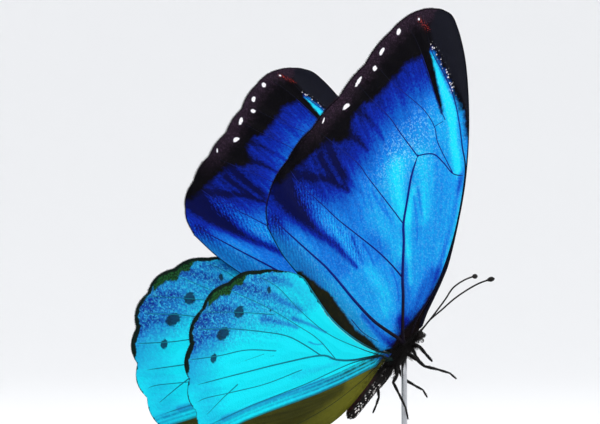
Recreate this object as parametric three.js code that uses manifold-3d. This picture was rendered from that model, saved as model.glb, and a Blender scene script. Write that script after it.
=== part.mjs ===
// Blue morpho butterfly at life size, climbing with its wings raised, on a plain display stand.
// Millimetres, +Z up. The origin is the centre of the stand's foot; the butterfly heads along +X,
// so its left side is +Y. The pose is fixed: nothing here moves.

import * as THREE from 'three';
import { mergeVertices } from 'three/addons/utils/BufferGeometryUtils.js';
import Module from 'manifold-3d';

const wasm = await Module();
wasm.setup();

const LEFT = 1;
const RIGHT = -1;
const GAP = 0.3;
const DEG = Math.PI / 180;

// Where the body hangs, and how steeply it climbs. Inside the body's own frame X is forward,
// Y is left and Z is towards the back (dorsal).
const BODY_HEIGHT = 56;
const BODY_BACK = 1.9;
const BODY_PITCH = 47.1 * DEG;

// Stand.
const BASE_RADIUS = 36;
const BASE_HEIGHT = 6;
const BASE_CHAMFER = 1.2;
const COLLAR_RADIUS = 3;
const COLLAR_HEIGHT = 2.4;
const COLLAR_CHAMFER = 0.6;
const ROD_RADIUS = 0.6;
const ROD_TOP = BODY_HEIGHT - 1.5;
const BASE_FACETS = 48;
const ROD_FACETS = 12;

// Trunk: [forward, left, dorsal] centres and half-axes, and how many facets go round and along.
// The chest is the thorax's front part, which carries the forelegs.
const THORAX_CENTRE = [-0.4, 0, -0.65];
const THORAX_HALF = [4.1, 2.3, 2.45];
const THORAX_FACETS = [18, 12];
const CHEST_CENTRE = [2.3, 0, -1.0];
const CHEST_HALF = [2.0, 1.75, 2.2];
const CHEST_FACETS = [14, 8];
const HEAD_CENTRE = [5.45, 0, -1.6];
const HEAD_HALF = [1.3, 1.35, 1.3];
const HEAD_FACETS = [16, 10];
const EYE_CENTRE = [5.75, 1.25, -1.6];
const EYE_HALF = [0.85, 0.6, 0.85];
const EYE_FACETS = [12, 8];
const ABDOMEN_FRONT = -4.9;
const ABDOMEN_LENGTH = 12.5;
const ABDOMEN_RADIUS = 1.38;
const ABDOMEN_RINGS = 8;
const ABDOMEN_RING_DEPTH = 0.05;
const ABDOMEN_BLUNT = 0.11;
const ABDOMEN_TIP = 0.2;
const ABDOMEN_TAPER = 0.09;
const ABDOMEN_TOP_LINE = -1.0;
const ABDOMEN_DROOP = 0.12;
const ABDOMEN_FACETS = 12;
const STEPS_TO_A_RING = 3;

// Wings. An outline is laid out flat, as on a spread specimen: [outward, forward] from the hinge.
const WING_THICKNESS = 0.6;
const SPAN_EASE = 1.3;
const FOREWING = {
  hinge: [2.0, 2.2, 1.5],
  spanSteps: 10,
  chordSteps: 32,
  leading: [[-1.8, 4.2], [-0.9, 5.9], [0.3, 8.3], [1.9, 12.6], [5.0, 18.6], [13.9, 29.4], [24.4, 38.4],
    [36.1, 45.7], [45.2, 49.0], [49.0, 48.6], [51.4, 47.0]],
  outer: [[51.4, 47.0], [53.4, 44.8], [54.8, 41.6], [55.5, 36.5], [54.8, 28.5], [54.3, 20.0], [54.0, 11.0],
    [52.6, 3.0], [50.0, -1.6], [46.0, -4.5]],
  inner: [[0.6, -3.4], [4.0, -6.6], [12.0, -8.8], [22.0, -8.2], [31.0, -6.6], [39.0, -6.0], [46.0, -4.5]],
  scallops: 7.2,
  firstNotch: 0.053,
  scallopDepth: 0.26,
  camber: 1.3,
  fold: 0,
};
const HINDWING = {
  hinge: [-2.0, 2.2, 1.0],
  spanSteps: 6,
  chordSteps: 43,
  leading: [[0.2, 0.0], [4.5, -2.4], [11.3, -4.5], [19.0, -5.7], [27.0, -5.5], [32.0, -5.3], [35.6, -6.7]],
  outer: [[35.6, -6.7], [42.0, -11.6], [45.6, -17.8], [46.0, -24.0], [43.2, -29.6], [39.0, -33.6],
    [34.0, -36.6], [27.5, -38.8], [19.5, -39.8], [11.8, -37.2]],
  inner: [[0.3, -3.8], [-0.2, -10.0], [-0.1, -17.0], [2.2, -24.0], [6.4, -31.5], [11.8, -37.2]],
  scallops: 8.6,
  firstNotch: 0,
  scallopDepth: 0.75,
  camber: 1.0,
  fold: 1.4,
};
const FOLD_START = 0.74;
const SCALLOP_CREST = 0.35;
const SCALLOP_NOTCH = 0.95;

// How each wing is set at its hinge: raised, swept forward and twisted nose-up, in degrees. The
// hindwings are folding fans, so each also has how far it is opened lengthwise and crosswise.
const WING_SET = {
  forewing_right: { side: RIGHT, wing: FOREWING, raise: 67.1, sweep: -7.7, twist: -10.2 },
  forewing_left: { side: LEFT, wing: FOREWING, raise: 66.1, sweep: -6.8, twist: -13.4 },
  hindwing_right: { side: RIGHT, wing: HINDWING, raise: 66.5, sweep: -2.6, twist: -4.6 },
  hindwing_left: {
    side: LEFT, wing: HINDWING, raise: 67.6, sweep: 7.2, twist: 6.7, reach: 0.974, spread: 1.1, shear: 0.07,
  },
};

// Feelers, mouthparts and legs: [forward, outward, dorsal] points with a radius at each.
const FEELERS = {
  antenna_right: { side: RIGHT, path: [[6.4, 0.35, -1.6], [8.1, 0.6, -1.45], [9.8, 0.9, -1.35],
    [13.1, 1.4, -1.8], [16.4, 1.9, -2.2], [19.5, 2.5, -2.9], [22.3, 3.1, -3.8], [24.5, 3.7, -4.9],
    [25.4, 4.4, -5.5]] },
  antenna_left: { side: LEFT, path: [[6.4, 0.35, -1.6], [8.6, 0.75, -2.0], [12.4, 1.25, -2.2],
    [16.4, 1.8, -2.3], [19.8, 2.4, -2.3], [22.9, 3.0, -3.3], [25.4, 3.7, -4.7], [26.7, 4.4, -5.8]] },
};
const FEELER_RADIUS = 0.25;
const FEELER_FACETS = 6;
const FEELER_STEPS = 24;
const CLUB_RADIUS = 0.46;
const CLUB_LENGTH = 1.9;
const CLUB_END = { share: 0.55, length: 0.6 };
const PALP_PATH = [[5.9, 0.5, -2.35], [6.4, 0.55, -2.75], [6.75, 0.52, -2.75], [6.95, 0.5, -2.55]];
const PALP_RADII = [0.3, 0.32, 0.28, 0.22];
const PALP_FACETS = 8;
const PALP_STEPS = 7;
const TONGUE_CENTRE = [5.6, 0, -3.25];
const TONGUE_OUTER = 0.46;
const TONGUE_INNER = 0.1;
const TONGUE_TURNS = 0.8;
const TONGUE_RADIUS = 0.25;
const TONGUE_FACETS = 6;
const TONGUE_STEPS = 20;
const LEG_FACETS = 6;
const LEG_RADII = [0.5, 0.42, 0.36, 0.3, 0.25, 0.25];
const LEGS = {
  leg_fore_right: { side: RIGHT, path: [[3.3, 0.7, -1.8], [3.9, 1.05, -3.2], [3.75, 1.15, -5.2],
    [3.65, 1.2, -7.3]] },
  leg_fore_left: { side: LEFT, path: [[3.0, 0.7, -1.8], [3.2, 1.05, -3.2], [2.7, 1.15, -4.8],
    [2.4, 1.2, -6.6]] },
  leg_mid_right: { side: RIGHT, path: [[1.1, 0.9, -2.2], [1.35, 1.5, -4.4], [1.4, 1.9, -6.4],
    [3.0, 2.2, -9.2], [4.2, 2.5, -11.6], [4.3, 2.7, -13.4]] },
  leg_mid_left: { side: LEFT, path: [[-1.4, 0.9, -2.0], [-2.0, 1.4, -3.9], [-2.5, 1.8, -6.2],
    [-1.6, 2.2, -9.2], [-0.9, 2.4, -11.4], [-1.3, 2.5, -13.2]] },
  leg_hind_right: { side: RIGHT, path: [[-2.9, 0.9, -2.0], [-4.2, 1.6, -3.0], [-5.9, 1.8, -3.2],
    [-6.7, 2.0, -5.4], [-7.9, 2.3, -8.6], [-9.3, 2.4, -10.6]] },
  leg_hind_left: { side: LEFT, path: [[-2.9, 0.9, -2.0], [-4.6, 1.6, -3.0], [-8.0, 1.75, -3.0],
    [-9.2, 1.7, -4.3], [-10.9, 1.6, -4.9], [-12.5, 1.6, -5.4]] },
};

const LOOKS = {
  wing: new THREE.MeshStandardMaterial({ color: 0x1896e0, roughness: 0.45, metalness: 0.15 }),
  fur: new THREE.MeshStandardMaterial({ color: 0x15100e, roughness: 0.9, metalness: 0 }),
  shell: new THREE.MeshStandardMaterial({ color: 0x0d0a09, roughness: 0.5, metalness: 0 }),
  eye: new THREE.MeshStandardMaterial({ color: 0x1c120c, roughness: 0.15, metalness: 0 }),
  wood: new THREE.MeshStandardMaterial({ color: 0x3b2416, roughness: 0.5, metalness: 0 }),
  steel: new THREE.MeshStandardMaterial({ color: 0x8c8f92, roughness: 0.3, metalness: 1 }),
};

// ---------------------------------------------------------------- solids and cuts

function closedGeometry(positions, triangles) {
  const geometry = new THREE.BufferGeometry();
  geometry.setAttribute('position', new THREE.Float32BufferAttribute(positions, 3));
  geometry.setIndex(triangles);
  return geometry;
}

function toManifold(geometry) {
  const bare = geometry.clone();
  bare.deleteAttribute('normal');
  bare.deleteAttribute('uv');
  const merged = mergeVertices(bare, 1e-4);
  const vertProperties = new Float32Array(merged.attributes.position.array);
  const triVerts = new Uint32Array(merged.index.array);
  return new wasm.Manifold(new wasm.Mesh({ numProp: 3, vertProperties, triVerts }));
}

function fromManifold(solid) {
  const mesh = solid.getMesh();
  return closedGeometry(Array.from(mesh.vertProperties), Array.from(mesh.triVerts));
}

function trimmed(geometry, ...cutters) {
  let solid = toManifold(geometry);
  for (const cutter of cutters) {
    solid = solid.subtract(toManifold(cutter));
  }
  return fromManifold(solid);
}

function joined(first, second) {
  return fromManifold(toManifold(first).add(toManifold(second)));
}

function ellipsoid(centre, half, grow, facets) {
  const geometry = new THREE.SphereGeometry(1, ...facets);
  geometry.rotateZ(Math.PI / 2);
  geometry.scale(half[0] + grow, half[1] + grow, half[2] + grow);
  geometry.translate(...centre);
  return geometry;
}

// A round limb that follows a path, with its own radius at every station and flat ends.
function limb(stations, sides) {
  const positions = [];
  const triangles = [];
  const tangents = stations.map((station, i) => {
    const before = stations[Math.max(i - 1, 0)].point;
    const after = stations[Math.min(i + 1, stations.length - 1)].point;
    return after.clone().sub(before).normalize();
  });
  let across = new THREE.Vector3(0, 1, 0).cross(tangents[0]).normalize();
  stations.forEach(({ point, radius }, i) => {
    across = across.sub(tangents[i].clone().multiplyScalar(across.dot(tangents[i]))).normalize();
    const third = tangents[i].clone().cross(across);
    for (let k = 0; k < sides; k += 1) {
      const angle = (2 * Math.PI * k) / sides;
      const spot = point.clone()
        .addScaledVector(across, radius * Math.cos(angle))
        .addScaledVector(third, radius * Math.sin(angle));
      positions.push(spot.x, spot.y, spot.z);
    }
  });
  for (let i = 0; i < stations.length - 1; i += 1) {
    for (let k = 0; k < sides; k += 1) {
      const a = i * sides + k;
      const b = i * sides + ((k + 1) % sides);
      triangles.push(a, b, b + sides, a, b + sides, a + sides);
    }
  }
  const last = (stations.length - 1) * sides;
  for (let k = 1; k < sides - 1; k += 1) {
    triangles.push(0, k + 1, k);
    triangles.push(last, last + k, last + k + 1);
  }
  return closedGeometry(positions, triangles);
}

function sidePoints(path, side) {
  return path.map(([forward, outward, dorsal]) => new THREE.Vector3(forward, side * outward, dorsal));
}

// ---------------------------------------------------------------- trunk

function thoraxSolid(grow) {
  return joined(
    ellipsoid(THORAX_CENTRE, THORAX_HALF, grow, THORAX_FACETS),
    ellipsoid(CHEST_CENTRE, CHEST_HALF, grow, CHEST_FACETS),
  );
}

const thoraxClearance = thoraxSolid(GAP);
const headClearance = ellipsoid(HEAD_CENTRE, HEAD_HALF, GAP, HEAD_FACETS);

function eyeSpot(side) {
  return [EYE_CENTRE[0], side * EYE_CENTRE[1], EYE_CENTRE[2]];
}

function headGeometry() {
  const sockets = [LEFT, RIGHT].map((side) => ellipsoid(eyeSpot(side), EYE_HALF, GAP, EYE_FACETS));
  return trimmed(ellipsoid(HEAD_CENTRE, HEAD_HALF, 0, HEAD_FACETS), thoraxClearance, ...sockets);
}

// Ringed and tapering; it hangs a little below the thorax's axis towards its tip.
function abdomenGeometry() {
  const stations = [];
  const steps = ABDOMEN_RINGS * STEPS_TO_A_RING;
  for (let i = 0; i <= steps; i += 1) {
    const t = i / steps;
    const pastShoulder = Math.max(0, 1 - (1 - t) / ABDOMEN_BLUNT);
    const blunt = Math.sqrt(Math.max(1 - pastShoulder ** 2, ABDOMEN_TIP ** 2));
    const taper = 1 - ABDOMEN_TAPER * t * t;
    const ring = ABDOMEN_RING_DEPTH * Math.cos(2 * Math.PI * ABDOMEN_RINGS * t);
    const point = new THREE.Vector3(
      ABDOMEN_FRONT - ABDOMEN_LENGTH * t,
      0,
      ABDOMEN_TOP_LINE - ABDOMEN_DROOP * Math.sin((Math.PI / 2) * t),
    );
    stations.push({ point, radius: (ABDOMEN_RADIUS - ring) * taper * blunt });
  }
  return trimmed(limb(stations, ABDOMEN_FACETS), thoraxClearance);
}

// ---------------------------------------------------------------- feelers, mouthparts and legs

function smoothStations(points, radiusAt, steps) {
  const curve = new THREE.CatmullRomCurve3(points, false, 'centripetal');
  const length = curve.getLength();
  const stations = [];
  for (let i = 0; i <= steps; i += 1) {
    const t = i / steps;
    stations.push({ point: curve.getPointAt(t), radius: radiusAt(t, length) });
  }
  return stations;
}

function feelerGeometry({ side, path }) {
  const radiusAt = (t, length) => {
    const intoClub = Math.max(0, 1 - ((1 - t) * length) / CLUB_LENGTH);
    const tip = Math.min(1, CLUB_END.share + ((1 - t) * length) / CLUB_END.length);
    return (FEELER_RADIUS + (CLUB_RADIUS - FEELER_RADIUS) * Math.sin((Math.PI / 2) * intoClub)) * tip;
  };
  const stations = smoothStations(sidePoints(path, side), radiusAt, FEELER_STEPS);
  return trimmed(limb(stations, FEELER_FACETS), headClearance);
}

function palpGeometry(side) {
  const radiusAt = (t) => {
    const place = t * (PALP_RADII.length - 1);
    const i = Math.min(Math.floor(place), PALP_RADII.length - 2);
    return THREE.MathUtils.lerp(PALP_RADII[i], PALP_RADII[i + 1], place - i);
  };
  const stations = smoothStations(sidePoints(PALP_PATH, side), radiusAt, PALP_STEPS);
  return trimmed(limb(stations, PALP_FACETS), headClearance);
}

// The tongue is carried rolled up like a watch spring under the face.
function tongueGeometry() {
  const stations = [];
  for (let i = 0; i <= TONGUE_STEPS; i += 1) {
    const t = i / TONGUE_STEPS;
    const angle = Math.PI / 2 - 2 * Math.PI * TONGUE_TURNS * t;
    const reach = THREE.MathUtils.lerp(TONGUE_OUTER, TONGUE_INNER, t);
    const point = new THREE.Vector3(
      TONGUE_CENTRE[0] + reach * Math.cos(angle),
      TONGUE_CENTRE[1],
      TONGUE_CENTRE[2] + reach * Math.sin(angle),
    );
    stations.push({ point, radius: TONGUE_RADIUS });
  }
  return trimmed(limb(stations, TONGUE_FACETS), headClearance);
}

function legGeometry({ side, path }) {
  const points = sidePoints(path, side);
  const stations = [];
  points.forEach((point, i) => {
    stations.push({ point, radius: LEG_RADII[i] });
    if (i < points.length - 1) {
      stations.push({
        point: point.clone().lerp(points[i + 1], 0.5),
        radius: (LEG_RADII[i] + LEG_RADII[i + 1]) / 2,
      });
    }
  });
  return trimmed(limb(stations, LEG_FACETS), thoraxClearance);
}

// ---------------------------------------------------------------- wings

// The scalloped outer edge: it rounds out between its notches and pulls in sharply at each one.
function outerEdge(wing) {
  const smooth = new THREE.SplineCurve(wing.outer.map(([x, y]) => new THREE.Vector2(x, y)));
  return (v) => {
    const point = smooth.getPointAt(v);
    const along = smooth.getTangentAt(v);
    const fade = Math.sin(Math.PI * v);
    const roundness = Math.abs(Math.sin(Math.PI * wing.scallops * (v - wing.firstNotch)));
    const rise = THREE.MathUtils.lerp(-SCALLOP_NOTCH, SCALLOP_CREST, roundness);
    const outward = new THREE.Vector2(-along.y, along.x);
    return point.addScaledVector(outward, wing.scallopDepth * fade * rise);
  };
}

function plainEdge(points) {
  const smooth = new THREE.SplineCurve(points.map(([x, y]) => new THREE.Vector2(x, y)));
  return (u) => smooth.getPointAt(u);
}

// A patch stretched between the four edges: u runs from hinge to outer edge, v from the leading
// edge back to the inner one.
function wingPatch(wing) {
  const leading = plainEdge(wing.leading);
  const inner = plainEdge(wing.inner);
  const outer = outerEdge(wing);
  const rootFront = leading(0);
  const rootBack = inner(0);
  const apex = leading(1);
  const corner = inner(1);
  return (u, v) => {
    const across = leading(u).multiplyScalar(1 - v).add(inner(u).multiplyScalar(v));
    const root = rootFront.clone().lerp(rootBack, v);
    const along = root.clone().multiplyScalar(1 - u).add(outer(v).multiplyScalar(u));
    const flat = root.multiplyScalar(1 - u).add(apex.clone().lerp(corner, v).multiplyScalar(u));
    return across.add(along).sub(flat);
  };
}

// How far the wing's middle surface stands off its own flat plane, towards the back.
function wingRise(wing, u, v) {
  const camber = wing.camber * Math.sin(Math.PI * u) * Math.sin(Math.PI * v);
  const folded = THREE.MathUtils.smoothstep(v, FOLD_START, 1);
  return camber + wing.fold * folded * u;
}

// Its steps along the span shorten towards the tip, where the leading edge turns fastest.
function wingGeometry({ side, wing, raise, sweep, twist, reach = 1, spread = 1, shear = 0 }) {
  const { spanSteps, chordSteps } = wing;
  const patch = wingPatch(wing);
  const positions = [];
  const triangles = [];
  const rows = chordSteps + 1;
  const layer = (spanSteps + 1) * rows;
  for (const skin of [0.5, -0.5]) {
    for (let i = 0; i <= spanSteps; i += 1) {
      for (let j = 0; j < rows; j += 1) {
        const u = 1 - (1 - i / spanSteps) ** SPAN_EASE;
        const v = j / chordSteps;
        const { x, y } = patch(u, v);
        const outward = reach * x + shear * y;
        positions.push(spread * y, side * outward, wingRise(wing, u, v) + skin * WING_THICKNESS);
      }
    }
  }
  const face = (a, b, c) => (side === LEFT ? triangles.push(a, b, c) : triangles.push(a, c, b));
  for (let i = 0; i < spanSteps; i += 1) {
    for (let j = 0; j < chordSteps; j += 1) {
      const a = i * rows + j;
      const b = a + rows;
      face(a, b, b + 1);
      face(a, b + 1, a + 1);
      face(layer + a, layer + b + 1, layer + b);
      face(layer + a, layer + a + 1, layer + b + 1);
    }
  }
  const rim = [];
  for (let i = 0; i < spanSteps; i += 1) rim.push(i * rows);
  for (let j = 0; j < chordSteps; j += 1) rim.push(spanSteps * rows + j);
  for (let i = spanSteps; i > 0; i -= 1) rim.push(i * rows + chordSteps);
  for (let j = chordSteps; j > 0; j -= 1) rim.push(j);
  rim.forEach((a, k) => {
    const b = rim[(k + 1) % rim.length];
    face(b, a, layer + a);
    face(b, layer + a, layer + b);
  });
  const geometry = closedGeometry(positions, triangles);
  const turn = new THREE.Euler(side * raise * DEG, -twist * DEG, -side * sweep * DEG, 'XZY');
  geometry.applyMatrix4(new THREE.Matrix4().makeRotationFromEuler(turn));
  geometry.translate(wing.hinge[0], side * wing.hinge[1], wing.hinge[2]);
  return trimmed(geometry, thoraxClearance);
}

// ---------------------------------------------------------------- stand

function turnedPart(profile, around) {
  const geometry = new THREE.LatheGeometry(profile.map(([r, z]) => new THREE.Vector2(r, z)), around);
  geometry.rotateX(Math.PI / 2);
  return geometry;
}

function standBase() {
  return turnedPart([
    [0, 0],
    [BASE_RADIUS, 0],
    [BASE_RADIUS, BASE_HEIGHT - BASE_CHAMFER],
    [BASE_RADIUS - BASE_CHAMFER, BASE_HEIGHT],
    [0, BASE_HEIGHT],
  ], BASE_FACETS);
}

function standRod(body) {
  const chest = thoraxClearance.clone().applyMatrix4(body.matrix);
  const rod = turnedPart([
    [0, BASE_HEIGHT],
    [COLLAR_RADIUS, BASE_HEIGHT],
    [COLLAR_RADIUS, BASE_HEIGHT + COLLAR_HEIGHT - COLLAR_CHAMFER],
    [COLLAR_RADIUS - COLLAR_CHAMFER, BASE_HEIGHT + COLLAR_HEIGHT],
    [ROD_RADIUS, BASE_HEIGHT + COLLAR_HEIGHT],
    [ROD_RADIUS, ROD_TOP],
    [0, ROD_TOP],
  ], ROD_FACETS);
  return trimmed(rod, chest);
}

// ---------------------------------------------------------------- assembly

function addMesh(parent, name, geometry, look) {
  const mesh = new THREE.Mesh(geometry, look);
  mesh.name = name;
  parent.add(mesh);
}

const butterfly = new THREE.Group();
butterfly.position.set(-BODY_BACK, 0, BODY_HEIGHT);
butterfly.rotation.y = -BODY_PITCH;
butterfly.updateMatrix();

addMesh(butterfly, 'thorax', thoraxSolid(0), LOOKS.fur);
addMesh(butterfly, 'head', headGeometry(), LOOKS.fur);
addMesh(butterfly, 'abdomen', abdomenGeometry(), LOOKS.fur);
addMesh(butterfly, 'proboscis', tongueGeometry(), LOOKS.shell);
for (const [suffix, side] of [['left', LEFT], ['right', RIGHT]]) {
  addMesh(butterfly, `eye_${suffix}`, ellipsoid(eyeSpot(side), EYE_HALF, 0, EYE_FACETS), LOOKS.eye);
  addMesh(butterfly, `palp_${suffix}`, palpGeometry(side), LOOKS.fur);
}
for (const [name, feeler] of Object.entries(FEELERS)) {
  addMesh(butterfly, name, feelerGeometry(feeler), LOOKS.shell);
}
for (const [name, leg] of Object.entries(LEGS)) {
  addMesh(butterfly, name, legGeometry(leg), LOOKS.shell);
}
for (const [name, setting] of Object.entries(WING_SET)) {
  addMesh(butterfly, name, wingGeometry(setting), LOOKS.wing);
}

const model = new THREE.Group();
model.add(butterfly);
addMesh(model, 'stand_base', standBase(), LOOKS.wood);
addMesh(model, 'stand_rod', standRod(butterfly), LOOKS.steel);

export default model;
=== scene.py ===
"""Blue morpho butterfly: the fine shape and finish of a life-size model on its display stand.

Laid out as an add-on and run as a script. Outlines and routes are written in millimetres and
multiplied by MM, because that is how a butterfly is measured. A wing is laid out flat, as on a
spread specimen: (outward, forward) from its hinge. The body has its own frame: forward, left,
dorsal (towards the back).
"""

import math

import bmesh
import bpy
import numpy as np
from mathutils import Color, Matrix, Vector


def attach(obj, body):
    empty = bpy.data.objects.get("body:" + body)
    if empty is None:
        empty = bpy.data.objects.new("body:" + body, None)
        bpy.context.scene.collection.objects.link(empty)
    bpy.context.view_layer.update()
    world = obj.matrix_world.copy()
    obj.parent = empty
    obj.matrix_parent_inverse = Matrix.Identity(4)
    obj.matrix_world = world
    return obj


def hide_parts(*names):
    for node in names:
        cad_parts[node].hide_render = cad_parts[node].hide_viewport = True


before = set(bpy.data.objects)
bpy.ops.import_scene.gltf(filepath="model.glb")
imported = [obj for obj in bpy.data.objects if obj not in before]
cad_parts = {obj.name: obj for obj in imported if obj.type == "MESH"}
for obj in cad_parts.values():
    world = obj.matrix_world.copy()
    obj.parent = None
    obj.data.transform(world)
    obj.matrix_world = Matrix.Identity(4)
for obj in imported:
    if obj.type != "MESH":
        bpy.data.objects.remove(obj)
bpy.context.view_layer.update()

bl_info = {
    "name": "Blue Morpho Model",
    "version": (1, 0, 0),
    "blender": (4, 5, 0),
    "location": "View3D > Sidebar > Morpho",
    "description": "Builds the wings, body, coat, stand and studio of a blue morpho butterfly",
    "category": "Object",
}

MM = 0.001
BODY = "root"
LEFT, RIGHT = 1, -1
SIDES = {"left": LEFT, "right": RIGHT}
SEED = 7

# Trunk, in the body's own frame.
THORAX_CENTRE, THORAX_HALF = (-0.4, 0, -0.65), (4.1, 2.3, 2.45)
CHEST_CENTRE, CHEST_HALF = (2.3, 0, -1), (2, 1.75, 2.2)
HEAD_CENTRE, HEAD_HALF = (5.45, 0, -1.6), (1.3, 1.35, 1.3)
EYE_CENTRE, EYE_HALF = (5.75, 1.25, -1.6), (0.85, 0.6, 0.85)
COAT_DEPTH = 0.42
HEAD_COAT_DEPTH = 0.22
SHOULDER = [(0.4, 1, 0.9), (2.4, 1.3, 0.75), (4.2, 1.2, 0.2), (5.3, 0.95, -0.3)]
SHOULDER_RADIUS = 0.55
ABDOMEN_FRONT, ABDOMEN_LENGTH, ABDOMEN_RADIUS = -4, 13.4, 1.38
ABDOMEN_TOP_LINE, ABDOMEN_DROOP, ABDOMEN_TAPER = -1, 0.12, 0.09
ABDOMEN_RINGS, RING_DEPTH = 9, 0.06
NECK = [(3, 0, -1.1), (5, 0, -1.45)]
NECK_RADIUS = 0.85
PALP_PATH = [(5.9, 0.5, -2.35), (6.4, 0.55, -2.75), (6.75, 0.52, -2.75), (6.95, 0.5, -2.55)]
PALP_RADII = (0.22, 0.25, 0.2, 0.13)
FACE_BUMP = [(6, 0, -1.75), (6.3, 0, -2.15)]
FACE_RADIUS = 0.55
LEG_RADII = (0.46, 0.39, 0.33, 0.27, 0.22, 0.19)
LEGS = {
    "leg_fore_right": (RIGHT, [(3.3, 0.7, -1.8), (3.9, 1.05, -3.2), (3.75, 1.15, -5.2), (3.65, 1.2, -7.3)]),
    "leg_fore_left": (LEFT, [(3, 0.7, -1.8), (3.2, 1.05, -3.2), (2.7, 1.15, -4.8), (2.4, 1.2, -6.6)]),
    "leg_mid_right": (RIGHT, [(1.1, 0.9, -2.2), (1.35, 1.5, -4.4), (1.4, 1.9, -6.4), (3, 2.2, -9.2),
        (4.2, 2.5, -11.6), (4.3, 2.7, -13.4)]),
    "leg_mid_left": (LEFT, [(-1.4, 0.9, -2), (-2, 1.4, -3.9), (-2.5, 1.8, -6.2), (-1.6, 2.2, -9.2),
        (-0.9, 2.4, -11.4), (-1.3, 2.5, -13.2)]),
    "leg_hind_right": (RIGHT, [(-2.9, 0.9, -2), (-4.2, 1.6, -3), (-5.9, 1.8, -3.2), (-6.7, 2, -5.4),
        (-7.9, 2.3, -8.6), (-9.3, 2.4, -10.6)]),
    "leg_hind_left": (LEFT, [(-2.9, 0.9, -2), (-4.6, 1.6, -3), (-8, 1.75, -3), (-9.2, 1.7, -4.3),
        (-10.9, 1.6, -4.9), (-12.5, 1.6, -5.4)]),
}
FEELERS = {
    "right": [(6.4, 0.35, -1.6), (8.1, 0.6, -1.45), (9.8, 0.9, -1.35), (13.1, 1.4, -1.8), (16.4, 1.9, -2.2),
        (19.5, 2.5, -2.9), (22.3, 3.1, -3.8), (24.5, 3.7, -4.9), (25.4, 4.4, -5.5)],
    "left": [(6.4, 0.35, -1.6), (8.6, 0.75, -2), (12.4, 1.25, -2.2), (16.4, 1.8, -2.3), (19.8, 2.4, -2.3),
        (22.9, 3, -3.3), (25.4, 3.7, -4.7), (26.7, 4.4, -5.8)],
}
FEELER_RADIUS, CLUB_RADIUS, CLUB_LENGTH = 0.17, 0.5, 1.9
SOCKET_RADIUS = 0.27
TONGUE_CENTRE, TONGUE_OUTER, TONGUE_INNER, TONGUE_TURNS = (5.6, 0, -3.25), 0.46, 0.1, 1.6
TONGUE_ROOT, TONGUE_RADIUS = (5.65, 0, -2.45), 0.12

# Wings, as laid out flat.
FOLD_START = 0.74
SCALLOP_CREST, SCALLOP_NOTCH = 0.35, 0.95
# A vein that starts nearer than this to the hinge begins in a point.
ROOT_REACH = 9
FOREWING = {
    "hinge": (2, 2.2, 1.5),
    "leading": [(-2.3, 3.5), (-0.9, 5.9), (0.3, 8.3), (1.9, 12.6), (5, 18.6), (13.9, 29.4), (24.4, 38.4),
        (36.1, 45.7), (45.2, 49), (49, 48.6), (51.4, 47)],
    "outer": [(51.4, 47), (53.4, 44.8), (54.8, 41.6), (55.5, 36.5), (54.8, 28.5), (54.3, 20), (54, 11),
        (52.6, 3), (50, -1.6), (46, -4.5)],
    "inner": [(0.6, -3.4), (4, -6.6), (12, -8.8), (22, -8.2), (31, -6.6), (39, -6), (46, -4.5)],
    "scallops": 7.2, "first_notch": 0.053, "scallop_depth": 0.36, "camber": 1.3, "fold": 0,
    "steps": (150, 200),
}
HINDWING = {
    "hinge": (-2, 2.2, 1),
    "leading": [(0.2, 0), (4.5, -2.4), (11.3, -4.5), (19, -5.7), (27, -5.5), (32, -5.3), (35.6, -6.7)],
    "outer": [(35.6, -6.7), (42, -11.6), (45.6, -17.8), (46, -24), (43.2, -29.6), (39, -33.6), (34, -36.6),
        (27.5, -38.8), (19.5, -39.8), (11.8, -37.2)],
    "inner": [(0.3, -3.8), (-0.7, -10), (-0.6, -17), (2, -24), (6.4, -31.5), (11.8, -37.2)],
    "scallops": 8.6, "first_notch": 0, "scallop_depth": 0.75, "camber": 1, "fold": 1.4,
    "steps": (140, 220),
}
WING_SET = {
    "forewing_right": {"side": RIGHT, "raise": 67.1, "sweep": -7.7, "twist": -10.2},
    "forewing_left": {"side": LEFT, "raise": 66.1, "sweep": -6.8, "twist": -13.4},
    "hindwing_right": {"side": RIGHT, "raise": 66.5, "sweep": -2.6, "twist": -4.6},
    "hindwing_left": {"side": LEFT, "raise": 67.6, "sweep": 7.2, "twist": 6.7, "reach": 0.974,
        "spread": 1.1, "shear": 0.07},
}

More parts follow.
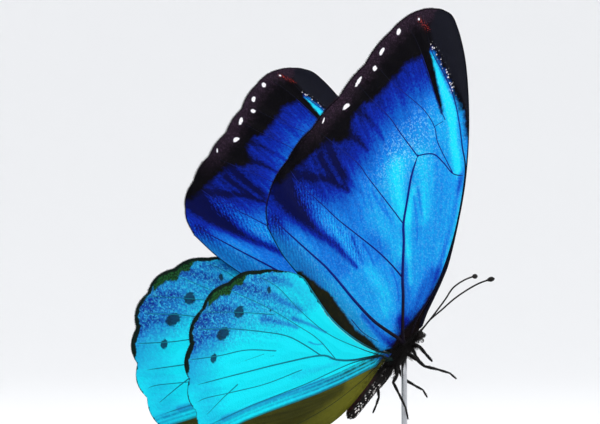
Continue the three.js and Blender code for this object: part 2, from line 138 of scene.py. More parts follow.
# Veins: the radius at the start and at the end, and the route.
FORE_VEINS = [
    (0.42, 0.24, [(-1.7, -0.3), (0.4, 0.5), (6.5, 5.7), (10.4, 8.6), (16.4, 13.6), (19.7, 16), (23.2, 19.7),
        (26.8, 23.6), (29.1, 27), (29.5, 27.3)]),
    (0.16, 0.11, [(28.8, 26.9), (36.3, 27.1), (41.6, 27.3), (48.5, 26.6), (54.2, 26.4)]),
    (0.17, 0.15, [(29.1, 27), (26.5, 29.6), (22.9, 30.1), (19.3, 30.2), (16.9, 31.7)]),
    (0.14, 0.11, [(19.3, 30.2), (22.7, 30.8), (27.8, 31.8), (31.1, 33.2), (35.6, 33.6), (40.7, 32.9),
        (47, 31.8), (54.5, 31.4)]),
    (0.13, 0.11, [(30.3, 35.7), (34.5, 36.6), (37.8, 37.5), (42.3, 38.9), (49.4, 40.6), (54.4, 40.8)]),
    (0.12, 0.11, [(31.1, 33.2), (30.3, 35.7)]),
    (0.26, 0.11, [(-1.3, 1.8), (0.6, 5.6), (2.6, 13.2), (8.4, 22.8), (16.8, 31.9), (22.5, 35.1),
        (27.7, 37.8), (32.9, 39.9), (38, 41), (44.9, 41.9), (51.6, 44.6)]),
    (0.16, 0.11, [(19.7, 16), (23.4, 16.2), (28.8, 16.4), (35.1, 16.6), (39.6, 16.8), (47, 15.7),
        (53.9, 14.6)]),
    (0.2, 0.11, [(10.4, 8.6), (15, 8.7), (20.4, 8.4), (27.5, 7.5), (33.5, 6.7), (39.2, 6.3), (47.7, 5.7),
        (53.2, 6.4)]),
    (0.4, 0.12, [(-1.6, -0.7), (0.5, -0.6), (3.7, -1.1), (9.1, -1.8), (16.5, -1.8), (22.9, -1.5),
        (28.3, -1.4), (34.2, -1.8), (38.9, -2.1), (44.5, -2.4), (49.2, -2.4)]),
    (0.14, 0.1, [(14, -4.9), (9, -5), (3.6, -3.9)]),
]
# The front edge's radius at shares of its length.
FORE_COSTA = ((0, 0.5), (0.13, 0.42), (0.24, 0.26), (0.34, 0.14), (0.6, 0.11), (1, 0.11))
HIND_VEINS = [
    (0.26, 0.12, [(-1.4, -0.5), (0.5, -1.6), (2.6, -2.4), (7.1, -7.3), (10.5, -9.9), (14.3, -11.8),
        (20.8, -19), (26.5, -25.6), (33.9, -34), (35.2, -36)]),
    (0.16, 0.13, [(14.3, -11.8), (19.7, -13.1), (24.5, -14.7), (29.5, -17.6), (37, -22.6), (43.6, -28)]),
    (0.15, 0.13, [(24, -18.2), (30, -22.6), (34.6, -27.5), (40, -32.6)]),
    (0.13, 0.11, [(31, -14.2), (38.9, -19.9), (45.4, -25)]),
    (0.14, 0.12, [(15.5, -16.6), (20.2, -23.7), (25.9, -30.1), (30.5, -35), (31.4, -37.4)]),
    (0.13, 0.11, [(-0.9, -0.3), (1.2, -1.6), (8, -4.7), (17, -8), (26.6, -9.6), (35.4, -10.4),
        (42.6, -12.8)]),
    (0.13, 0.11, [(10.5, -9.9), (17.6, -10.2), (24.4, -11.8), (34, -14.5), (45.2, -18.6)]),
    (0.16, 0.12, [(2.1, -2.3), (6.6, -7.7), (11.6, -16.8), (15.4, -22.6), (20.5, -30), (25.8, -38.6)]),
    (0.12, 0.1, [(-1, -1.2), (0.9, -3), (1.6, -9), (3.6, -17), (7.4, -25), (12.6, -32), (16.6, -38.8)]),
    (0.1, 0.08, [(25.8, -20.4), (28.1, -23.6), (30.2, -26.6)]),
    (0.09, 0.07, [(23.6, -19.1), (26.8, -23.4)]),
    (0.17, 0.1, [(26, -28.2), (26.7, -31.9), (27.4, -37)]),
]
HIND_COSTA = ((0, 0.22), (1, 0.12))

# The blue's light and shade, partly the wing's own bright and dark blue and partly painted light and shade
# of its shine. A stroke: how much lighter or darker, the brush's width at its start and end, and its route.
FORE_VALLEY = [(14.7, 2.9), (22, 3), (30, 2.9), (38, 1.8), (45.4, 1.8), (50.5, 2.8)]
FORE_BRUSH = [
    # Painted shade along the valley fold, which the sheet also sags into.
    (-0.40, 0.35, 2.3, FORE_VALLEY[1:]),
    (-0.15, 3.2, 3.8, [(20, 9.2), (28, 9.8), (40, 9.4)]),
    (-0.14, 2.4, 2.4, [(25, 0.4), (33, 0.8), (42, 2.4)]),
    (-0.24, 1.8, 1.8, [(20, -6.6), (30, -5), (40, -4.2), (46, -3)]),
    (-0.22, 1.7, 1.3, [(17, 34.6), (23, 38.6), (28, 41)]),
    (-0.24, 1.4, 1.6, [(1.6, 3.6), (3.2, 7.2), (5.6, 13.8)]),
    (-0.16, 1.6, 1.6, [(3, 2.6), (7, 6.6), (12, 10.4)]),
    (0.34, 0.9, 1.2, [(29, 36.6), (36, 38.9), (44.2, 41.4)]),
    (0.08, 2.4, 1.6, [(20, 33.6), (28, 34), (36, 36)]),
    (0.20, 1.4, 2, [(17, 19.8), (23.7, 25.1), (28.4, 27.4)]),
    (0.32, 1.5, 2.6, [(20.6, 16.9), (26, 19), (31.5, 22.4)]),
    (0.24, 0.6, 0.9, [(8, 9), (11.4, 11.3), (18.7, 16.5), (24, 22)]),
    (0.40, 0.9, 1, [(18.6, 31.2), (24.5, 34), (31.4, 38.2), (38.5, 39.8), (43.6, 41)]),
    (0.16, 2, 2.4, [(15, 11.6), (20, 12.2), (27, 12)]),
    (0.16, 1.8, 1.6, [(8, 1.4), (12, 3.6), (19, 4.4)]),
    (0.20, 1.6, 1.2, [(5, 17.4), (8, 21), (14, 28)]),
    (0.06, 2.2, 2, [(6, -3), (14, -3.2), (24, -3.4)]),
    (-0.18, 0.4, 1, [(36.8, 11.9), (40.6, 12.9), (44.3, 13.6), (50, 15)]),
    (-0.18, 0.4, 1, [(36.6, 11.8), (42.4, 10.4), (47.2, 7.4), (52, 5)]),
    (-0.13, 0.3, 0.8, [(41.3, 11.2), (44, 11.4), (48.1, 11.8)]),
    (-0.13, 0.3, 0.8, [(32.7, 13.6), (36, 13.4), (40.5, 13.8)]),
    (-0.18, 0.4, 1, [(40, 19.9), (43.6, 19.6), (48.6, 18.4)]),
    (-0.16, 0.4, 0.9, [(38.6, 23.6), (43, 23.8), (48, 23.8)]),
    (-0.20, 0.2, 0.4, [(16.5, 19.4), (19.6, 20.8), (23.6, 22.9)]),
    (-0.16, 0.15, 0.3, [(14, 15.6), (18, 18.6), (22.6, 21)]),
    (-0.20, 0.2, 0.35, [(24.5, 14.6), (28.3, 14.9), (31.8, 15.6)]),
    (-0.16, 0.15, 0.3, [(22.5, 14.4), (25.1, 15.1), (28.6, 16)]),
    (-0.22, 0.2, 0.5, [(21, 4.4), (24.5, 5.5), (27.8, 6.4)]),
    (-0.18, 0.2, 0.35, [(18.6, 6), (21.8, 6.9), (24.4, 7.2)]),
    (-0.18, 0.2, 0.35, [(7.2, 4.9), (10.3, 6.7), (14.4, 8.2)]),
    (-0.34, 1.1, 0.5, [(0.6, -2.4), (5, -2.7), (12.4, -2.7)]),
    (-0.24, 0.9, 0.6, [(0.6, 5), (3.2, 12.4), (10, 22.4), (18, 31.6)]),
    (-0.34, 2.4, 1.2, [(0.2, 0.6), (2, 1.6), (3.8, 2.3)]),
]
FORE_WEDGE = (1, 0.15, [(46.1, 40.8), (41.7, 39.4), (37.2, 37.9), (32.2, 36.1)])
FORE_BORDER = [(23.4, 37.4), (27.5, 39.5), (32.6, 40.4), (38.2, 41.6), (45.3, 42.4), (46, 39.1),
    (47.7, 36.3), (47.4, 33.3), (47.4, 30), (47.5, 26.7), (48.9, 24.3), (48.6, 21.3), (46.1, 18.9),
    (46.6, 16.6), (49.6, 15), (50.3, 10), (50.9, 5.7), (51.5, 3), (53, 1.6), (64, 1), (64, 58), (16, 50)]
# The black fur at the wing's root.
FORE_ROOT = [(-4, 3), (-3, 7), (1.6, 14.2), (3.4, 16.4), (2.3, 11.4), (1.4, 7.6), (1, 4.8), (1.1, 2.6),
    (1.2, 0.4), (1, -1.2), (0.6, -3), (-0.4, -5), (-4, -5)]
# The slate at the tip and front edge: partly the border's own grey, partly painted sheen.
FORE_SLATE = [(24, 38.6), (30, 40.8), (38.2, 42), (45.5, 42.9), (48.8, 44), (50.5, 46.5), (50, 56),
    (20, 52)]
FORE_OLIVE = [(3, -4.6), (7.3, -4.7), (11.1, -5.3), (16.1, -4.8), (22.9, -4.1), (27.7, -4.6), (33, -5.2),
    (35, -6.6), (30, -12), (6, -12), (-2, -6)]
FORE_FLECKS = [(32.4, 40.1), (34.8, 40.7), (38.9, 41.8), (42.4, 42.4), (45.7, 42.5)]
FORE_RUST_FLECKS = [(52.3, 43.4), (50.7, 43.6), (48.8, 43.8)]
FORE_TEAL = [(-0.2, -4), (16, -1.9), (30, -1.4), (38, -1.6), (45, -3.6), (46, -8), (0, -10)]
# White marks: centre, length, width and turn in degrees.
FORE_MARKS = [
    ((52.3, 43.4), 0.6, 0.45, 0), ((53.9, 38.7), 1.45, 1.1, 40), ((53.8, 33.8), 1.7, 1, 70),
    ((52.2, 30.8), 1.25, 1.15, 0), ((53, 26.7), 2.3, 0.95, 75), ((51.4, 21.9), 1.9, 1.15, 105),
    ((53.2, 16.8), 1.4, 0.35, 60),
]

# The hindwing's light and shade, in the same way: partly its own bright and dark blue, partly painted light
# and shade.
HIND_BRUSH = [
    (-0.20, 1.6, 2.6, [(44.6, -16), (45.2, -22), (43, -29), (37, -35)]),
    (-0.20, 3.6, 4.6, [(40, -23), (37, -30), (31, -34), (25, -37)]),
    (-0.16, 2, 2, [(26, -6.4), (32, -7), (38, -10)]),
    (-0.32, 0.6, 1.2, [(26.6, -9.4), (29.7, -10.5), (34.9, -12.4), (39, -14.2), (44, -17)]),
    (-0.34, 0.3, 0.7, [(24, -12.1), (27.2, -13.5), (32.2, -16.3)]),
    (-0.42, 0.25, 0.45, [(17.7, -8.2), (22.5, -9.9), (26.6, -11.6)]),
    (-0.18, 0.4, 0.7, [(33, -8), (37, -9.9), (41.5, -13.4)]),
    (-0.20, 0.8, 1.4, [(40, -20), (42.5, -22.5), (43.5, -26)]),
    (-0.22, 1, 1.6, [(38, -24.5), (40.5, -27), (41.2, -29.6)]),
    (-0.42, 0.12, 0.2, [(15.9, -9.9), (17.4, -11.3), (19.3, -12)]),
    (-0.30, 0.35, 0.15, [(0.8, -1.6), (4, -4.4), (7.4, -7.6), (12, -10.9)]),
    (-0.16, 0.6, 1.2, [(9.5, -10), (12.6, -14), (16, -18.6)]),
    (-0.30, 0.3, 0.6, [(9.6, -14.4), (13.6, -20.6), (18.6, -27.6), (23.4, -34.6)]),
]
HIND_SPECKLE = [(40.6, -33), (35.7, -25.9), (32, -19.9), (27.9, -15.8), (25.2, -12), (26, -9), (33.8, -9.4),
    (36, -6), (50, -8), (52, -34)]
HIND_FOLD = [(1.4, -1.8), (1.2, -4.3), (5.4, -12.5), (8.1, -17.1), (10.7, -20.9), (15.3, -27.2),
    (18.4, -31.6), (23.4, -39.6), (24, -44), (-6, -44), (-6, -1.8)]
# Dark pleats beside the fold, partly their own dark scales and partly painted shade in their creases: how far
# from it, width and strength.
HIND_PLEATS = ((2.5, 0.16, 0.8), (1.9, 0.26, 1), (1.1, 0.18, 0.9), (0.45, 0.15, 0.7))
HIND_MOSS = [(39.6, -9.9), (41.6, -12.2), (42.6, -13.8), (42, -15.9), (43.3, -16.6), (42.4, -18.6),
    (44.2, -20), (44.6, -23.2), (47, -22), (46.4, -17), (43, -11)]
HIND_MARKS = [
    ((38, -19.1), 3, 2.7, 20), ((37.4, -24.2), 3.5, 2.8, -60), ((35.1, -28.5), 2.2, 1.7, 45),
    ((36.3, -12), 1.7, 1, 20), ((32.3, -14.2), 0.6, 0.4, 0),
]
# The black border's width in millimetres at shares of the outer edge.
HIND_BORDER = ((0, 0.1), (0.06, 0.3), (0.14, 0.8), (0.3, 0.6), (0.42, 0.8), (0.5, 1.1), (0.54, 0.8),
    (0.57, 0.15), (1, 0.12))

# Stand, in metres.
BASE_RADIUS, BASE_HEIGHT, BASE_ROUND = 0.036, 0.006, 0.0012
ROD_RADIUS, ROD_TOP = 0.0006, 0.0545
COLLAR_RADIUS, COLLAR_HEIGHT, COLLAR_ROUND = 0.003, 0.0024, 0.0006

# The skin is made as one voxel mesh in millimetres and then softened.
SKIN_VOXEL, SKIN_SOFTENING, SKIN_PASSES = 0.071, 0.5, 3
PART_NUMBERS = {"thorax": 0, "neck": 1, "head": 2, "palp": 3, "abdomen": 4, "leg": 5}
# How thick each part is. A point of the skin belongs to the part that it is nearest to for its girth.
PART_GIRTHS = {"thorax": 1.9, "head": 0.9, "abdomen": 1, "neck": 0.8, "palp": 0.2, "leg": 0.25}
# How far the hair stands off the skin.
HAIR_STAND, OTHER_STAND = {"abdomen": 0.12, "leg": 0.45}, 0.55

# Coats: the parts that each grows on, its share of the density, how much lighter its tips are, and the
# tufts' shape, with widths in metres.
COATS = {
    "thorax": (("thorax", "neck"), 1, 0.012, {"width": 2.2e-5, "ruffle": 0.34, "flatness": 1.0,
        "bend": 0.27, "sides": 3, "segments": 3}),
    "abdomen": (("abdomen",), 0.9, 0.006, {"width": 6e-5, "ruffle": 0.18, "flatness": 0.3, "bend": 0.15,
        "sides": 4, "segments": 2}),
    "head": (("head", "palp"), 1.3, 0.01, {"width": 2e-5, "ruffle": 0.4, "flatness": 1.0, "bend": 0.15,
        "sides": 3, "segments": 2}),
    "leg": (("leg",), 0.5, 0.008, {"width": 1.6e-5, "ruffle": 0.3, "flatness": 1.0, "bend": 0.09,
        "sides": 3, "segments": 2}),
}
# The hairs at the wings' bases, with their number to a square millimetre, and the scales along one wing's
# outer edge, with their number.
BASE_HAIR = {"width": 1.8e-5, "ruffle": 0.2, "flatness": 1.0, "bend": 0.12, "sides": 3, "segments": 3}
BASE_HAIR_DENSITY = 26
FRINGE = {"width": 4e-5, "ruffle": 0.22, "flatness": 0.35, "bend": 0.02, "sides": 4, "segments": 2}
FRINGE_COUNT = 1500
TUFT_INPUTS = {"Width": "Float", "Ruffle": "Float", "Flatness": "Float", "Bend": "Float", "Sides": "Int",
    "Segments": "Int", "Material": "Material"}
# The OFBake map: the field of flat millimetres that a wing's unit square covers, as its corner and its
# size, and the size of one tuft's patch.
WING_FIELD_CORNER, WING_FIELD_SIZE = (-4, -44), (64, 98)
PATCH_SIZE = 0.003

# The bowl-shaped studio floor, the lamps (place, size and which power) and the camera.
FLOOR_FLAT, FLOOR_REACH, FLOOR_RISE = 1.3, 4.2, 3.4
FLOOR_RINGS, FLOOR_STEPS, FLOOR_SIDES = 6, 24, 96
LAMPS = {
    "key": ((-0.75, -0.85, 0.75), 0.9, "key_power"),
    "fill": ((0.95, -0.5, 0.45), 0.8, "fill_power"),
    "top": ((-0.1, 0.35, 1.2), 0.8, "fill_power"),
}
LAMP_AIM = (0, 0, 0.07)
CAMERA_PLACE = (-0.15723, -0.28218, 0.06214)
CAMERA_AIM = (0.4265, 0.9018, 0.0695)
CAMERA_LENS, CAMERA_SENSOR = 93.205, 36


def linear(colour, scale=1):
    """A screen colour, made lighter or darker, as the linear colour that a shader takes."""
    scaled = [c * scale for c in colour]
    return tuple(c / 12.92 if c <= 0.04045 else ((c + 0.055) / 1.055) ** 2.4 for c in scaled) + (1,)


def colour_prop(name, description, red, green, blue):
    """A screen colour that the user can change, given from 0 to 255."""
    return bpy.props.FloatVectorProperty(name=name, description=description, subtype="COLOR_GAMMA", size=3,
        min=0, max=1, default=(red / 255, green / 255, blue / 255))


def length_prop(name, description, metres):
    return bpy.props.FloatProperty(name=name, description=description, default=metres, min=0,
        unit="LENGTH", precision=5)


def amount_prop(name, description, value, top=10):
    return bpy.props.FloatProperty(name=name, description=description, default=value, min=0, max=top)


# ---- settings


class MorphoPose(bpy.types.PropertyGroup):
    """Where the body hangs and how steeply it climbs."""

    height: length_prop("Height", "Height of the body's middle over the table", 0.056)
    back: length_prop("Back", "How far the body's middle lies behind the rod", 0.0019)
    pitch: bpy.props.FloatProperty(name="Pitch", description="How steeply the body climbs", subtype="ANGLE",
        default=math.radians(47.1))


class MorphoWings(bpy.types.PropertyGroup):
    """Sizes and colours of the four wings."""

    thickness: length_prop("Thickness", "Thickness of the wing between two veins", 0.00016)
    pleat: length_prop("Pleat", "How deep the wing sags between two veins", 0.00022)
    scale_length: length_prop("Scale length", "Length of one wing scale", 0.00026)
    fringe_length: length_prop("Fringe", "Length of the scales along the outer edge", 0.00055)
    black: colour_prop("Black", "Border near the blue", 4, 3, 7)
    plum: colour_prop("Plum", "Border near the outer edge", 46, 33, 46)
    slate: colour_prop("Slate", "Border at the tip and front edge", 19, 20, 29)
    white: colour_prop("White", "The row of marks in the border", 244, 240, 246)
    rust: colour_prop("Rust", "Flecks by the first mark", 190, 60, 50)
    navy: colour_prop("Navy", "Blue in the deepest folds", 3, 8, 62)
    ultramarine: colour_prop("Ultramarine", "Blue near the border", 8, 38, 158)
    azure: colour_prop("Azure", "Blue over most of the forewing", 14, 118, 214)
    sky: colour_prop("Sky", "Lighter blue of the forewing", 22, 164, 230)
    cyan: colour_prop("Cyan", "The forewing's brightest blue", 24, 214, 242)
    # Slate: partly the border's own grey, partly painted sheen.
    teal: colour_prop("Teal", "Tint along the forewing's inner edge", 16, 112, 156)
    hind_deep: colour_prop("Hind deep", "Darkest blue of the hindwing", 12, 46, 138)
    hind_blue: colour_prop("Hind blue", "Speckled blue of the hindwing", 24, 118, 190)
    hind_sky: colour_prop("Hind sky", "Hindwing between blue and cyan", 26, 172, 212)
    hind_cyan: colour_prop("Hind cyan", "Hindwing's brightest blue", 14, 222, 238)
    hind_edge: colour_prop("Hind edge", "Black-green border of the hindwing", 6, 24, 18)
    hind_mark: colour_prop("Hind mark", "Dark spots of the hindwing", 8, 52, 80)
    moss: colour_prop("Moss", "Green patches inside the hindwing's border", 24, 82, 36)
    olive: colour_prop("Olive", "The hindwing's inner field", 88, 88, 24)
    # Dark olive also paints the shade in the inner field's folds and along the fold's edge.
    olive_dark: colour_prop("Dark olive", "Folds and strips of the inner field", 17, 20, 9)
    vein: colour_prop("Vein", "Forewing veins", 10, 30, 128)
    vein_base: colour_prop("Vein base", "Forewing veins near the hinge", 20, 10, 13)
    hind_vein: colour_prop("Hind vein", "Hindwing veins", 10, 122, 142)


class MorphoBody(bpy.types.PropertyGroup):
    """Sizes and colours of the trunk, legs, head and their coat."""

    hair_density: amount_prop("Hair density", "Hairs to a square millimetre of thorax", 62, 400)
    thorax_hair: length_prop("Thorax hair", "Length of the thorax's hairs", 0.0011)
    abdomen_hair: length_prop("Abdomen hair", "Length of the abdomen's flat hairs", 0.00032)
    head_hair: length_prop("Head hair", "Length of the head's bristles", 0.0003)
    leg_hair: length_prop("Leg hair", "Length of the legs' bristles", 0.0003)
    base_hair: length_prop("Wing base hair", "Length of the hairs at the wing bases", 0.0014)
    dark: colour_prop("Dark", "Thorax, head and legs", 8, 6, 6)
    brown: colour_prop("Brown", "Upper side of the abdomen", 42, 14, 12)
    # The flecks are partly pale scales and partly painted glints.
    fleck: colour_prop("Fleck", "Pale scales on the abdomen's sides", 244, 240, 236)
    eye: colour_prop("Eye", "Eyes", 18, 11, 10)
    feeler: colour_prop("Feeler", "Feelers", 12, 10, 10)


class MorphoStand(bpy.types.PropertyGroup):
    """Colours of the display stand."""

    wood_dark: colour_prop("Dark wood", "Late wood of the base", 52, 30, 18)
    wood_light: colour_prop("Light wood", "Early wood of the base", 104, 64, 38)
    steel: colour_prop("Steel", "The rod and its collar", 176, 178, 182)


class MorphoStage(bpy.types.PropertyGroup):
    """Floor and light of the studio."""

    floor: colour_prop("Floor", "The pale floor", 240, 241, 243)
    sky_strength: amount_prop("Sky", "Strength of the light from all round", 1.06)
    key_power: amount_prop("Key", "Power of the main lamp in watts", 4.2, 500)
    fill_power: amount_prop("Fill", "Power of the lamp from the other side in watts", 3, 500)


# ---- lines and shapes


def smooth_line(points, samples=900):
    """A curve through all the points, with how far along it each sample lies, from 0 to 1."""
    points = np.array(points, float)
    last = len(points) - 1
    place = np.linspace(0, last, samples)
    i = np.minimum(place.astype(int), last - 1)
    w = (place - i)[:, None]
    before, start = points[np.maximum(i - 1, 0)], points[i]
    end, after = points[i + 1], points[np.minimum(i + 2, last)]
    leave, arrive = (end - before) / 2, (after - start) / 2
    cubic = 2 * start - 2 * end + leave + arrive
    square = 3 * end - 3 * start - 2 * leave - arrive
    line = cubic * w**3 + square * w**2 + leave * w + start
    walked = np.concatenate([[0], np.cumsum(np.linalg.norm(np.diff(line, axis=0), axis=1))])
    return line, walked / walked[-1]


def at_share(curve, share):
    """Points of a smooth_line at shares of its length."""
    line, walked = curve
    return np.stack([np.interp(share, walked, line[:, k]) for k in range(line.shape[1])], axis=-1)


def evened(points, step):
    """The curve through the points, with a point about every step."""
    curve = smooth_line(points)
    length = np.linalg.norm(np.diff(curve[0], axis=0), axis=1).sum()
    return at_share(curve, np.linspace(0, 1, max(3, int(math.ceil(length / step)) + 1)))


def path_distance(spots, path):
    """How far each spot is from the path, and how far along the path its nearest point lies, 0 to 1."""
    path = np.array(path, float)
    best = np.full(len(spots), np.inf)
    share = np.zeros(len(spots))
    lengths = np.linalg.norm(np.diff(path, axis=0), axis=1)
    walked = np.concatenate([[0], np.cumsum(lengths)])
    for start, end, length, before in zip(path[:-1], path[1:], lengths, walked[:-1], strict=True):
        way = (end - start) / max(length, 1e-9)
        along = np.clip((spots - start) @ way, 0, length)
        gap = np.linalg.norm(spots - start - along[:, None] * way, axis=1)
        nearer = gap < best
        best = np.where(nearer, gap, best)
        share = np.where(nearer, (before + along) / walked[-1], share)
    return best, share


def region_depth(spots, outline):
    """Millimetres inside a closed outline, negative outside it."""
    outline = np.array(outline, float)
    inside = np.zeros(len(spots), bool)
    for (ax, ay), (bx, by) in zip(outline, np.roll(outline, -1, axis=0), strict=True):
        straddles = (spots[:, 1] < ay) != (spots[:, 1] < by)
        crossing = ax + (spots[:, 1] - ay) * (bx - ax) / (by - ay if by != ay else 1e-9)
        inside ^= straddles & (spots[:, 0] < crossing)
    gap = path_distance(spots, np.vstack([outline, outline[:1]]))[0]
    return np.where(inside, gap, -gap)


def smoothstep(low, high, value):
    t = np.clip((value - low) / (high - low), 0, 1)
    return t * t * (3 - 2 * t)


def brush(spots, amount, start_width, end_width, path):
    """One soft stroke of light (or shade, below zero) along a path."""
    gap, share = path_distance(spots, evened(path, 1.5))
    width = start_width + (end_width - start_width) * share
    return amount * np.exp(-((gap / width) ** 2))


def body_matrix():
    """From the body's own frame to the world, both in millimetres."""
    pose = bpy.context.scene.morpho_pose
    turn = Matrix.Rotation(-pose.pitch, 4, "Y")
    return np.array(Matrix.Translation((-pose.back / MM, 0, pose.height / MM)) @ turn)


def to_world(points):
    """Body-frame millimetres to world metres."""
    matrix = body_matrix()
    return (np.asarray(points, float) @ matrix[:3, :3].T + matrix[:3, 3]) * MM


def turn_to_world(vectors):
    return np.asarray(vectors, float) @ body_matrix()[:3, :3].T


def to_body(points):
    """World metres to body-frame millimetres."""
    matrix = body_matrix()
    return (np.asarray(points, float) / MM - matrix[:3, 3]) @ matrix[:3, :3]


def sided(points, side):
    return [(forward, side * outward, dorsal) for forward, outward, dorsal in points]


# ---- meshes


def linked(name, data):
    """An object of this data, in the scene."""
    made = bpy.data.objects.new(name, data)
    bpy.context.scene.collection.objects.link(made)
    return made


def new_piece(name, vertices, faces, material=None, edges=()):
    """A mesh object from points and lists of corner numbers, or from edges alone."""
    mesh = bpy.data.meshes.new(name)
    corners = faces if isinstance(faces, list) else faces.tolist()
    mesh.from_pydata(np.array(vertices, float).tolist(), list(edges), corners)
    mesh.validate()
    mesh.shade_smooth()
    if material is not None:
        mesh.materials.append(material)
    return linked(name, mesh)


def copied(piece, name):
    """A copy of the piece with its own mesh, telling the frame what the piece tells it."""
    made = piece.copy()
    made.data = piece.data.copy()
    made.name = name
    bpy.context.scene.collection.objects.link(made)
    return made


def write_attribute(mesh, name, values):
    """Stores one number or one vector for each vertex."""
    kind = "FLOAT" if np.ndim(values) == 1 else "FLOAT_VECTOR"
    made = mesh.attributes.get(name) or mesh.attributes.new(name, kind, "POINT")
    field = "value" if kind == "FLOAT" else "vector"
    made.data.foreach_set(field, np.asarray(values, np.float32).ravel())


def fetched(items, field, size, kind=np.float32):
    """One field of all the items: a list of numbers, or of rows of them."""
    values = np.zeros(len(items) * size, kind)
    items.foreach_get(field, values)
    return values.reshape(-1, size) if size > 1 else values


def read_attribute(mesh, name, size):
    return fetched(mesh.attributes[name].data, "value" if size == 1 else "vector", size)


def vertex_places(mesh):
    return fetched(mesh.vertices, "co", 3, float)


def vertex_normals(mesh):
    return fetched(mesh.vertex_normals, "vector", 3).astype(float)


def write_map(mesh, places):
    """The OFBake map, from each vertex's place on the unit square."""
    corners = fetched(mesh.loops, "vertex_index", 1, np.int32)
    layer = mesh.uv_layers.get("OFBake") or mesh.uv_layers.new(name="OFBake")
    layer.data.foreach_set("uv", places[corners].astype(np.float32).ravel())


def settle(piece, slot, *replaced):
    """Tells the frame what the piece rides on and which solids it stands for. slot, which finish it has, is
    not used.
    """
    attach(piece, BODY)
    if replaced:
        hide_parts(*replaced)


def baked_from_modifiers(piece):
    """The piece as a plain mesh, with its modifiers taken off."""
    depsgraph = bpy.context.evaluated_depsgraph_get()
    mesh = bpy.data.meshes.new_from_object(piece.evaluated_get(depsgraph), preserve_all_data_layers=True,
        depsgraph=depsgraph)
    piece.modifiers.clear()
    old = piece.data
    piece.data = mesh
    mesh.name = piece.name
    if old.users == 0:
        bpy.data.meshes.remove(old)
    return piece


def ring_walls(first, rings, around):
    """The faces between neighbouring rings of vertices, from the first vertex on."""
    faces = []
    for start in range(first, first + (rings - 1) * around, around):
        for k in range(around):
            a, b = start + k, start + (k + 1) % around
            faces.append((a, b, b + around, a + around))
    return faces


def circle_points(profile, around):
    """A ring of points about the z axis for each (radius, height)."""
    turns = np.arange(around) * 2 * math.pi / around
    return [(radius * math.cos(a), radius * math.sin(a), z) for radius, z in profile for a in turns]


def limb_solid(path, radii, sides=18):
    """A closed round limb with domed ends: its vertices and faces."""
    path = np.array(path, float)
    radii = np.broadcast_to(radii, len(path)).astype(float)
    ways = np.gradient(path, axis=0)
    ways /= np.linalg.norm(ways, axis=1)[:, None]
    dome = [(s, 0.9 * math.sqrt(1 - s * s)) for s in np.linspace(0.15, 1, 4)[:-1]]
    rings = [(path[0] - ways[0] * radii[0] * rise, radii[0] * s, 0) for s, rise in dome]
    rings += [(path[i], radii[i], i) for i in range(len(path))]
    end = len(path) - 1
    rings += [(path[-1] + ways[-1] * radii[-1] * rise, radii[-1] * s, end) for s, rise in reversed(dome)]
    across = np.cross(ways[0], (0, 1, 0))
    if np.linalg.norm(across) < 0.1:
        across = np.cross(ways[0], (1, 0, 0))
    angles = np.arange(sides) * 2 * math.pi / sides
    vertices = []
    for centre, radius, i in rings:
        across = across - ways[i] * (across @ ways[i])
        across /= np.linalg.norm(across)
        third = np.cross(ways[i], across)
        vertices += [centre + radius * (math.cos(a) * across + math.sin(a) * third) for a in angles]
    first_ring, last_ring = range(sides), range(len(vertices) - sides, len(vertices))
    caps = [tuple(reversed(first_ring)), tuple(last_ring)]
    return vertices, ring_walls(0, len(rings), sides) + caps


def ball_solid(centre, half, depth):
    """A closed ellipsoid that lies this deep inside its full size: its vertices and faces."""
    made = bmesh.new()
    bmesh.ops.create_uvsphere(made, u_segments=40, v_segments=24, radius=1)
    vertices = [tuple(np.array(v.co) * (np.array(half) - depth) + centre) for v in made.verts]
    faces = [tuple(v.index for v in f.verts) for f in made.faces]
    made.free()
    return vertices, faces


def turned_solid(profile, around):
    """A closed turned shape about the z axis from (radius, height) points, the first and last on the axis."""
    (_, bottom), *rings, (_, top) = profile
    vertices = [(0, 0, bottom), *circle_points(rings, around), (0, 0, top)]
    last = len(vertices) - 1
    after = [(k + 1) % around for k in range(around)]
    faces = [(0, 1 + n, 1 + k) for k, n in enumerate(after)]
    faces += ring_walls(1, len(rings), around)
    faces += [(last - around + k, last - around + n, last) for k, n in enumerate(after)]
    return vertices, faces


# ---- node wiring


class Wire:
    """A node's output, which can be added, multiplied and so on like a number."""

    def __init__(self, board, socket):
        self.board, self.socket = board, socket

    def __add__(self, other):
        return self.board.math("ADD", self, other)

    def __sub__(self, other):
        return self.board.math("SUBTRACT", self, other)

    def __rsub__(self, other):
        return self.board.math("SUBTRACT", other, self)

    def __mul__(self, other):
        return self.board.math("MULTIPLY", self, other)

    def __rtruediv__(self, other):
        return self.board.math("DIVIDE", other, self)


